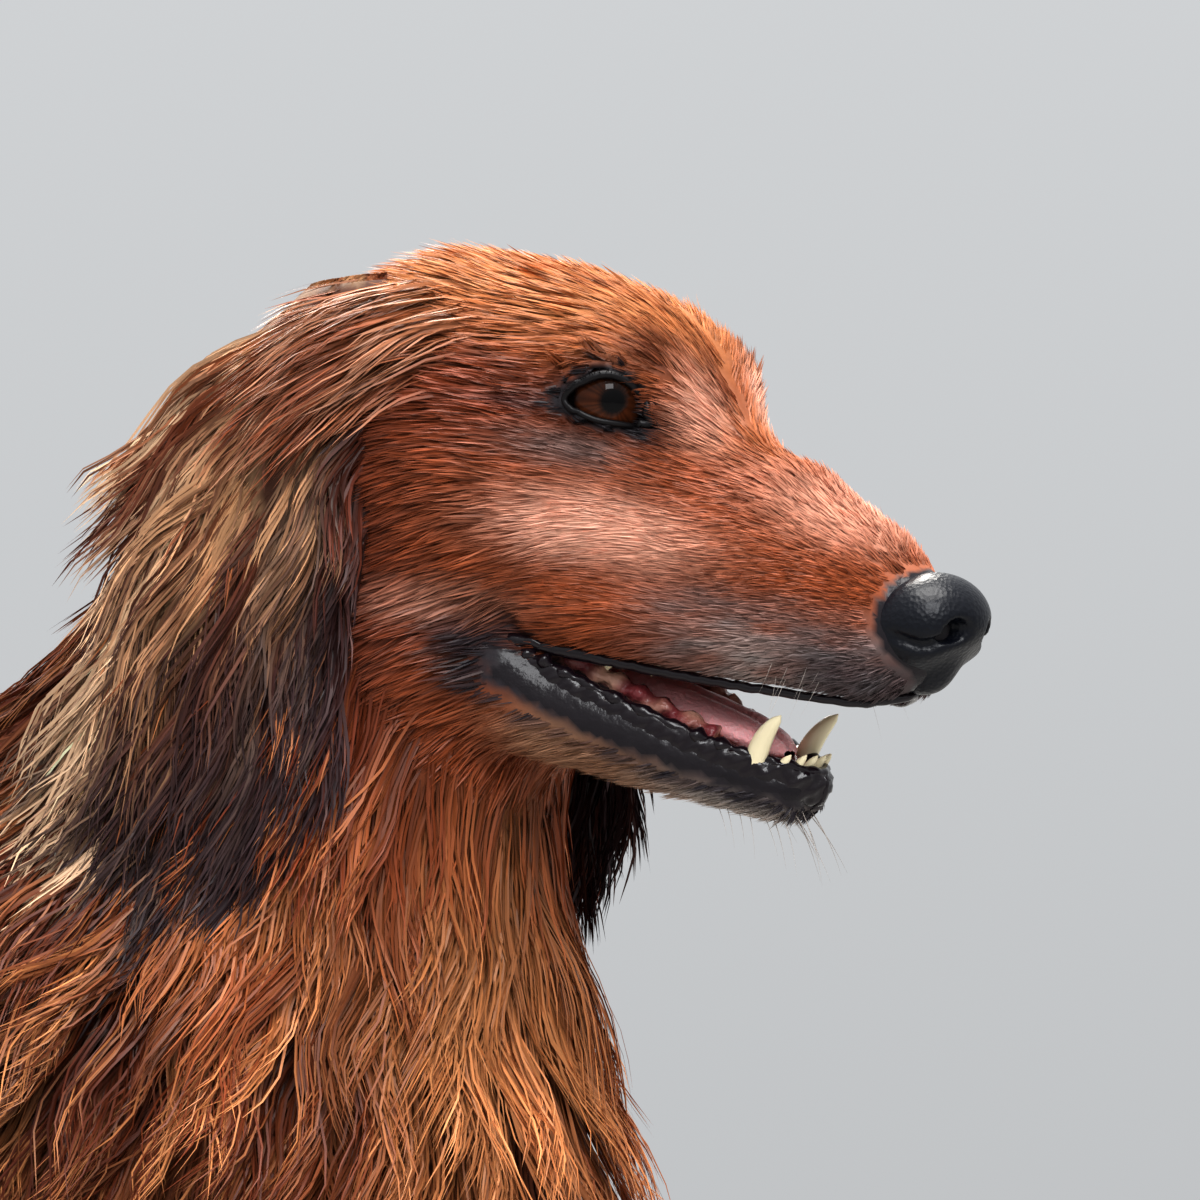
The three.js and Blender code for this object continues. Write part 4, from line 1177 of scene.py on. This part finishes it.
def ribbons(line, out, width):
    """Flat strips along lines, tapered to a point and rolled a little: points and triangles."""
    count, joints = line.shape[0], line.shape[1] - 1
    s = np.linspace(0, 1, joints + 1)
    ahead = unit(np.gradient(line, axis=1))
    side = unit(np.cross(ahead, out[:, None]))
    roll = rng.normal(0, 0.6, (count, 1, 1))
    side = side * np.cos(roll) + np.cross(ahead, side) * np.sin(roll)
    wide = width * rng.uniform(0.7, 1.3, count)
    taper = (0.6 + 0.9 * s) * (1 - s) ** 0.55
    half = (wide[:, None] * taper / 2)[..., None]
    left, right = (line + side * half)[:, :-1], (line - side * half)[:, :-1]
    edges = np.stack([left, right], axis=2).reshape(count, 2 * joints, 3)
    points = np.concatenate([edges, line[:, -1:]], axis=1)
    strip = []
    for i in range(0, 2 * joints - 2, 2):
        strip += [[i, i + 1, i + 3], [i, i + 3, i + 2]]
    strip.append([2 * joints - 2, 2 * joints - 1, 2 * joints])
    faces = np.array(strip) + (np.arange(count) * (2 * joints + 1))[:, None, None]
    return points.reshape(-1, 3), faces.reshape(-1, 3)


def add_tufts(name, roots, out, lie, tones, places, style, share=1.0):
    """Tufts in one mesh: tones at root and tip, places on an unwrap, and shares of the style's length."""
    count = len(roots)
    length = style.length * share * rng.uniform(0.75, 1.2, count)
    line, lock = tuft_lines(roots, out, lie, length, style)
    points, faces = ribbons(line, out, style.width)
    piece = make_mesh(name, points, faces, hair_look)
    lock_tone = np.exp(rng.normal(0, style.uneven, (lock.max() + 1, 1)))[lock]
    tone = lock_tone * np.exp(rng.normal(0, style.uneven * 0.8, (count, 1)))
    s = np.linspace(0, 1, style.steps + 1)
    along = np.concatenate([np.repeat(s[:-1], 2), [1.0]])[None, :, None]
    root_tone, tip_tone = tones
    tint = root_tone[:, None] * (1 - along) + tip_tone[:, None] * along
    # painted shade: each tuft darker towards its root, deep in the coat, and lighter towards its tip
    tint = tint * tone[:, None] * (style.depth + (style.tip - style.depth) * along**0.7)
    paint(piece, "Coat", tint.reshape(-1, 3).clip(0, 0.95))
    unwrap = piece.data.uv_layers.new(name="OFBake")
    across = np.append(np.tile([0.0, 1.0], style.steps), 0.5)
    patch = PATCH * np.stack([across, along.ravel()], axis=-1)
    corners = (places.clip(0.002, 0.994)[:, None] + patch[None]).reshape(-1, 2)
    unwrap.data.foreach_set("uv", corners[faces.ravel()].astype(np.float32).ravel())


def round_axis(points, low, high, middle, axis=0):
    """Places on an unwrap round an axis of the body: along it, and the turn about it."""
    others = [i for i in range(3) if i != axis]
    along = (points[:, axis] - low) / (high - low)
    q = points[:, others] - np.array(middle)
    return np.stack([along, np.arctan2(q[:, 0], q[:, 1]) / (2 * math.pi) + 0.5], axis=-1)


body = Surface(skin_points, skin_quads)
p = body.centres
h = to_head(p)
along, aside, up = p[:, 0], np.abs(p[:, 1]), p[:, 2]
hairy = ~np.any(bare(h), axis=0)


def is_head(p):
    """How much points belong to the head, in front of a plane behind the skull and the jaw."""
    h = to_head(p)
    return smooth(-2, 2, (h - [-70, 0, -36]) @ unit([0.8, 0, 0.6]))


def head_lie(h):
    """The lie of the hair on the head: back from the nose, spreading over the brow, down the cheeks."""
    side = np.sign(h[:, 1])
    back = -np.ones(len(h))
    spread = side * (0.15 + 0.25 * spot(h, [-10, 0, 10], [30, 40, 25]))
    fall = -0.10 - 0.55 * smooth(0, -70, h[:, 0]) * smooth(25, -20, h[:, 2])
    fall = fall - 0.25 * smooth(-30, -60, h[:, 2])
    return way_to_world(unit(np.stack([back, spread, fall], axis=-1)))


def body_lie(p):
    """The lie on neck, trunk and legs: down the neck and chest, back along the trunk, down the legs."""
    side = np.sign(p[:, 1])[:, None]
    neck_way = np.array([-0.35, 0, -1.0]) + side * [0, 0.05, 0]
    trunk_way = np.array([-1, 0, -0.15]) + np.outer(smooth(235, 120, p[:, 2]), [0.25, 0, -0.6])
    leg_way = np.array([-0.15, 0, -1.0])
    tail_way = np.array([-1, 0, -0.55])
    trunk_share = smooth(20, -60, p[:, 0])[:, None]
    way = neck_way * (1 - trunk_share) + trunk_way * trunk_share
    leg = (smooth(118, 95, p[:, 2]) * smooth(22, 32, np.abs(p[:, 1])))[:, None]
    way = way * (1 - leg) + leg_way * leg
    tail = smooth(-355, -385, p[:, 0])[:, None]
    return unit(way * (1 - tail) + tail_way * tail)


def body_places(q):
    return round_axis(q, -580, 216, [0, 180], 0)


def grow_on_body(name, count, density, style, lie=body_lie, pull=(0, 0, 0), lighter=0.0,
                 places=body_places, length_share=None, tip_tone=None):
    """One piece of the coat, on the part of the skin where density is above zero."""
    roots, out = body.scatter(count, np.where(hairy, density, 0))
    colours = coat_colour_and_painted_light(roots)
    tips = colours
    if lighter:
        tips = toned(colours, (GOLD * 1.3, lighter * smooth(-0.1, 0.8, wavy(roots, 13, 60))))
    if tip_tone:
        tips = tip_tone(roots)
    share = length_share(roots) if length_share else 1.0
    add_tufts(name, roots, out, lie(roots) + pull, (colours, tips), places(roots), style, share)


def head_places(q):
    return round_axis(to_head(q), -110, 95, [0, -30], 0)


def head_ways(q):
    return head_lie(to_head(q))


def head_lengths(q):
    """Short on the nose and lips and at the eyes, longer on the skull, cheeks and before the ears."""
    at = folded(to_head(q))
    long = 0.45 + 0.55 * smooth(60, -20, at[:, 0]) + 0.5 * smooth(-30, -75, at[:, 0])
    return long * (1 - 0.62 * spot(at, [-12, 31, 4], [19, 15, 13]))


head_share = is_head(p)
back_of_head = smooth(-20, -45, h[:, 0])
nearer_side = np.where(p[:, 1] < -12, 1.35, 1.0)
front_density = head_share * (1 - back_of_head) * nearer_side * (1 + 0.8 * smooth(0, 40, h[:, 0]))
grow_on_body("coat_face", 62000, front_density, Style(
    9.5, 0.5, steps=2, lift=0.04, droop=0.0, ride=0.45, clump=0.35, per_guide=16, spread=0.10, depth=0.8,
    tip=1.1, uneven=0.09,
), head_ways, places=head_places, length_share=head_lengths)
grow_on_body("coat_skull", 28000, head_share * back_of_head * nearer_side, Style(
    12, 0.68, steps=3, lift=0.11, droop=0.02, ride=0.8, clump=0.45, per_guide=16, depth=0.5, uneven=0.12,
), head_ways, places=head_places, length_share=head_lengths)


def ear_root_tone(q):
    """The tips over the ear's root: red brown in front, blond behind."""
    behind = smooth(-68, -84, to_head(q)[:, 0])
    streak = smooth(-0.5, 0.5, wavy(q, 9, 61))
    return toned(np.tile(RED * 0.6, (len(q), 1)), (BLOND * 0.9, (0.25 + 0.6 * behind) * streak))


def over_ears(q):
    return head_ways(q) + np.sign(q[:, 1] + 12)[:, None] * [0, 0.6, 0] + DOWN * 0.6


def ragged(q):
    return rng.uniform(0.55, 1.15, len(q))


grow_on_body("coat_by_ears", 8000, spot(folded(h), [-72, 34, 12], [17, 14, 13]), Style(
    37, 0.75, steps=5, lift=0.44, droop=0.13, ride=3.5, clump=0.8, per_guide=20, wave=1.2, curl=30,
), over_ears, places=head_places, length_share=ragged, tip_tone=ear_root_tone)

upper_neck = (1 - head_share) * smooth(-70, -40, along) * smooth(150, 175, up) * smooth(225, 240, up)
chest = (1 - head_share) * smooth(-40, -10, along) * smooth(240, 225, up) * smooth(80, 95, up)
chest *= 1 - smooth(116, 108, up) * smooth(24, 32, aside)
grow_on_body("coat_neck", 13000, upper_neck * nearer_side, Style(
    44, 0.9, steps=6, lift=0.24, droop=0.05, ride=2.4, clump=0.8, per_guide=22, wave=2.2, curl=38,
    spread=0.22,
), lighter=0.4, places=lambda q: round_axis(q, 130, 400, [30, 0], 2))
grow_on_body("coat_chest", 13000, chest * nearer_side, Style(
    50, 0.85, steps=7, lift=0.32, droop=0.05, ride=3.0, clump=0.88, per_guide=26, wave=4.2, curl=42,
    spread=0.30,
), lighter=0.8, places=lambda q: round_axis(q, 60, 260, [20, 0], 2))

trunk_part = (1 - head_share) * smooth(-5, -40, along) * smooth(-385, -365, along)
trunk_part *= 1 - smooth(118, 104, up) * smooth(24, 32, aside)
BACK = Style(27, 1.7, lift=0.16, droop=0.03, ride=2.2, clump=0.7, per_guide=16, wave=1.0, curl=24)
for part, share in (("fore", smooth(-200, -180, along)), ("hind", 1 - smooth(-200, -180, along))):
    grow_on_body(f"coat_trunk_{part}", 12000, trunk_part * share, BACK)

fringe = trunk_part * smooth(128, 100, up)
fringe += smooth(75, 60, along) * smooth(-60, -40, along) * smooth(110, 98, up) * (aside < 26)
grow_on_body("fringe_belly", 7500, fringe, Style(
    42, 1.5, steps=6, droop=0.14, ride=1.8, clump=0.85, per_guide=26, wave=2.4, curl=30, spread=0.14,
), pull=DOWN * 0.8, lighter=0.45)

leg_part = smooth(122, 110, up) * smooth(22, 30, aside) * (up > 1.5)
grow_on_body("coat_legs", 15000, leg_part * (1 + smooth(50, 20, up)), Style(
    11, 1.0, steps=3, lift=0.18, droop=0.02, ride=0.9, clump=0.5, per_guide=12,
), length_share=lambda q: 0.5 + 0.5 * smooth(8, 60, q[:, 2]))

# the backs of the legs and thighs
behind = smooth(0.25, 0.7, -skin_grid.slope(p)[:, 0])
feather = leg_part * behind * smooth(30, 55, up)
breeches = smooth(-300, -330, along) * smooth(210, 195, up) * smooth(80, 95, up) * behind
breeches *= smooth(-392, -380, along)
grow_on_body("feather_legs", 6000, feather + breeches * 1.2, Style(
    40, 1.4, steps=6, lift=0.35, droop=0.16, ride=1.5, clump=0.85, per_guide=26, wave=2.2, curl=28,
), pull=[-0.5, 0, -0.5], lighter=0.45, length_share=lambda q: 0.55 + 0.45 * smooth(50, 100, q[:, 2]))


def tail_lengths(q):
    """Long under the tail, short on top of it and where it begins."""
    return 0.45 + 0.65 * smooth(0.3, -0.3, skin_grid.slope(q)[:, 2]) * smooth(-365, -400, q[:, 0])


tail_part = smooth(-358, -372, along) * smooth(122, 132, up)
grow_on_body("plume_tail", 9000, tail_part * (1 + 0.8 * smooth(-420, -540, along)), Style(
    52, 1.4, steps=6, lift=0.22, droop=0.16, ride=1.2, clump=0.8, per_guide=22, wave=2.4, curl=34,
), pull=DOWN * 0.6, lighter=0.4, length_share=tail_lengths)

FEATHER = Style(
    60, 0.95, steps=7, lift=0.16, droop=0.10, ride=3.5, clump=0.88, per_guide=26, wave=3.2, curl=46,
    spread=0.18, depth=0.7, strays=0.06, uneven=0.22,
)


def grow_on_ear(side, hand, count=11000):
    """The feathering of one ear, from its outside, its edges and its end."""
    u = np.where(rng.random(count) < 0.3, rng.uniform(-0.04, 0.2, count), rng.random(count) ** 0.8 * 0.97)
    v = rng.uniform(-1, 1, count)
    v = np.sign(v) * np.abs(v) ** 1.15
    depth = np.where(rng.random(count) < 0.15, 4.6, 1.2)
    roots = ear_points(side, u, v, depth)
    out = unit(np.stack([0.35 * v, np.full(count, side * 1.0), 0.12 - 0.2 * u], axis=-1))
    back = smooth(0.3, -0.9, v)
    backward = -0.27 - 0.85 * back * (1 - 0.6 * u)
    lie = np.stack([backward, np.full(count, side * 0.05), -1.0 + 0.35 * back], axis=-1)
    length = (0.35 + 0.65 * smooth(0, 0.7, u)) * (0.7 + 0.45 * back)
    length = np.maximum(length, 0.9 * back)
    tips = ear_markings(roots + DOWN * 40 - [18, 0, 0], np.minimum(1, u + 0.4), v - 0.15)
    tones = (ear_markings(roots, u, v), tips)
    places = np.stack([(v + 1) / 2, u], axis=-1)
    add_tufts(f"ear_feathering_{hand}", roots, out, lie, tones, places, FEATHER, length)


for side, hand in SIDES:
    grow_on_ear(side, hand)


# Whiskers and lashes
def bristle(line, thick, up):
    """A hair that thins towards its tip."""
    taper = thick * (1.05 - np.linspace(0, 1, len(line)))
    return tube_mesh(line, taper, taper, up, 4)


def add_whiskers():
    rows = []
    for side, _ in SIDES:
        for i in range(8):
            at = [40 + 4.0 * (i % 4), (14.5 - 1.0 * (i % 4)) * side, -42 - 4 * (i // 4)]
            rows.append((at, [0.35, 0.8 * side, -0.75], 17 + 2 * (i % 3), 0.08))
        for i in range(9):
            rows.append(([26 + 2.6 * i, (10 - i) * side, -83], [0.7, 0.3 * side, -0.6], 12 + i, 0.14))
    parts = []
    t = np.linspace(0, 1, 7)[:, None]
    for at, way, length, thick in rows:
        way = unit(np.array(way) + rng.normal(0, 0.12, 3))
        sag = np.array([-0.12, 0, -0.12]) * length * t**2
        line = np.array(at) + way * t * length * rng.uniform(0.8, 1.2) + sag
        parts.append(bristle(line, thick, [0.1, 0.2, 1.0]))
    points, faces = joined(parts)
    whiskers = make_mesh("whiskers", to_world(points), faces, whisker_look)


def add_lashes():
    parts = []
    t = np.linspace(0, 1, 6)[:, None]
    for side, _ in SIDES:
        line, away = lid_line(side, 90)
        for i in range(5, 42):
            way = unit(away[i] * 0.8 + EYE_LOOKS * [1, side, 1] * 0.9 + rng.normal(0, 0.2, 3))
            hair = line[i] + way * t * rng.uniform(3.0, 5.0) + np.array([0, 0, -0.8]) * t**2
            parts.append(bristle(hair, 0.16, away[i]))
    points, faces = joined(parts)
    lashes = make_mesh("lashes", to_world(points), faces, lid_look)


add_whiskers()
add_lashes()

# The view, the light and the floor
VIEW_TURN = math.radians(22)
VIEW_FROM = 2000.0
MM_PER_PIXEL = 0.24
PHOTO_SIZE = 1200
EYES_IN_PHOTO = (705, 430)  # where the head's origin lies, in pixels from the left and the top
FLOOR_RADIUS = 1.5


def add_camera():
    right = np.array([math.cos(VIEW_TURN), math.sin(VIEW_TURN), 0])
    towards = np.array([math.sin(VIEW_TURN), -math.cos(VIEW_TURN), 0])
    across = (PHOTO_SIZE / 2 - EYES_IN_PHOTO[0]) * MM_PER_PIXEL
    down = (PHOTO_SIZE / 2 - EYES_IN_PHOTO[1]) * MM_PER_PIXEL
    aim = HEAD_AT + right * across - np.array([0, 0, down])
    data = bpy.data.cameras.new("camera")
    data.lens = data.sensor_width * VIEW_FROM / (PHOTO_SIZE * MM_PER_PIXEL)
    data.clip_start, data.clip_end = 0.05, 30
    camera = placed("camera", data)
    camera.location = (aim + towards * VIEW_FROM + SHIFT) * MM
    camera.rotation_euler = Vector(-towards).to_track_quat("-Z", "Y").to_euler()
    bpy.context.scene.camera = camera
    return (aim + SHIFT) * MM


def add_light(name, at, aim, size, power, colour):
    data = bpy.data.lights.new(name, "AREA")
    data.size, data.energy, data.color = size, power, colour
    lamp = placed(name, data)
    lamp.location = at
    lamp.rotation_euler = (Vector(aim) - Vector(at)).to_track_quat("-Z", "Y").to_euler()


def add_stage(aim):
    """A pale round floor, a pale surround, and soft light from above, from before and from behind."""
    rim = [(FLOOR_RADIUS * math.cos(a), FLOOR_RADIUS * math.sin(a), 0) for a in turns(96)]
    mesh = bpy.data.meshes.new("floor")
    mesh.from_pydata(rim, [], [list(range(len(rim)))])
    floor = placed("floor", mesh)
    look = material("floor", 0.8, (0.30, 0.295, 0.285))
    add_grain(look, 60.0, 0.0004, 0.3)
    mesh.materials.append(look)
    floor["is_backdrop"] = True
    world = bpy.data.worlds.new("surround")
    bpy.context.scene.world = world
    world.use_nodes = True
    back = world.node_tree.nodes["Background"].inputs
    back["Color"].default_value = (0.96, 0.98, 1.0, 1)
    place = node(world, "ShaderNodeTexCoord")
    height = node(world, "ShaderNodeSeparateXYZ")
    link(world, place.outputs["Generated"], height.inputs[0])
    link(world, mapped(world, height.outputs["Z"], 0.05, 0.95, start=-1.0), back["Strength"])
    x, y, z = aim
    add_light("key", (x + 0.7, y - 1.1, z + 1.1), aim, 0.75, 16, (0.97, 0.98, 1.0))
    add_light("rim", (x - 0.7, y + 1.0, z + 1.1), aim, 0.8, 26, (1.0, 0.96, 0.90))
    add_light("top", (x + 0.15, y - 0.15, z + 1.4), aim, 0.9, 24, (1.0, 0.98, 0.95))


add_stage(add_camera())
view = bpy.context.scene.view_settings
view.view_transform = "Standard"
view.exposure = 0.4
view.gamma = 0.84


def write_sizes():
    """The object's box as the solids have it and as it is shown, gathered into a list that is not written
    out.
    """
    sizes = [[list(corner) for corner in pair] for pair in (box_before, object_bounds())]


write_sizes()
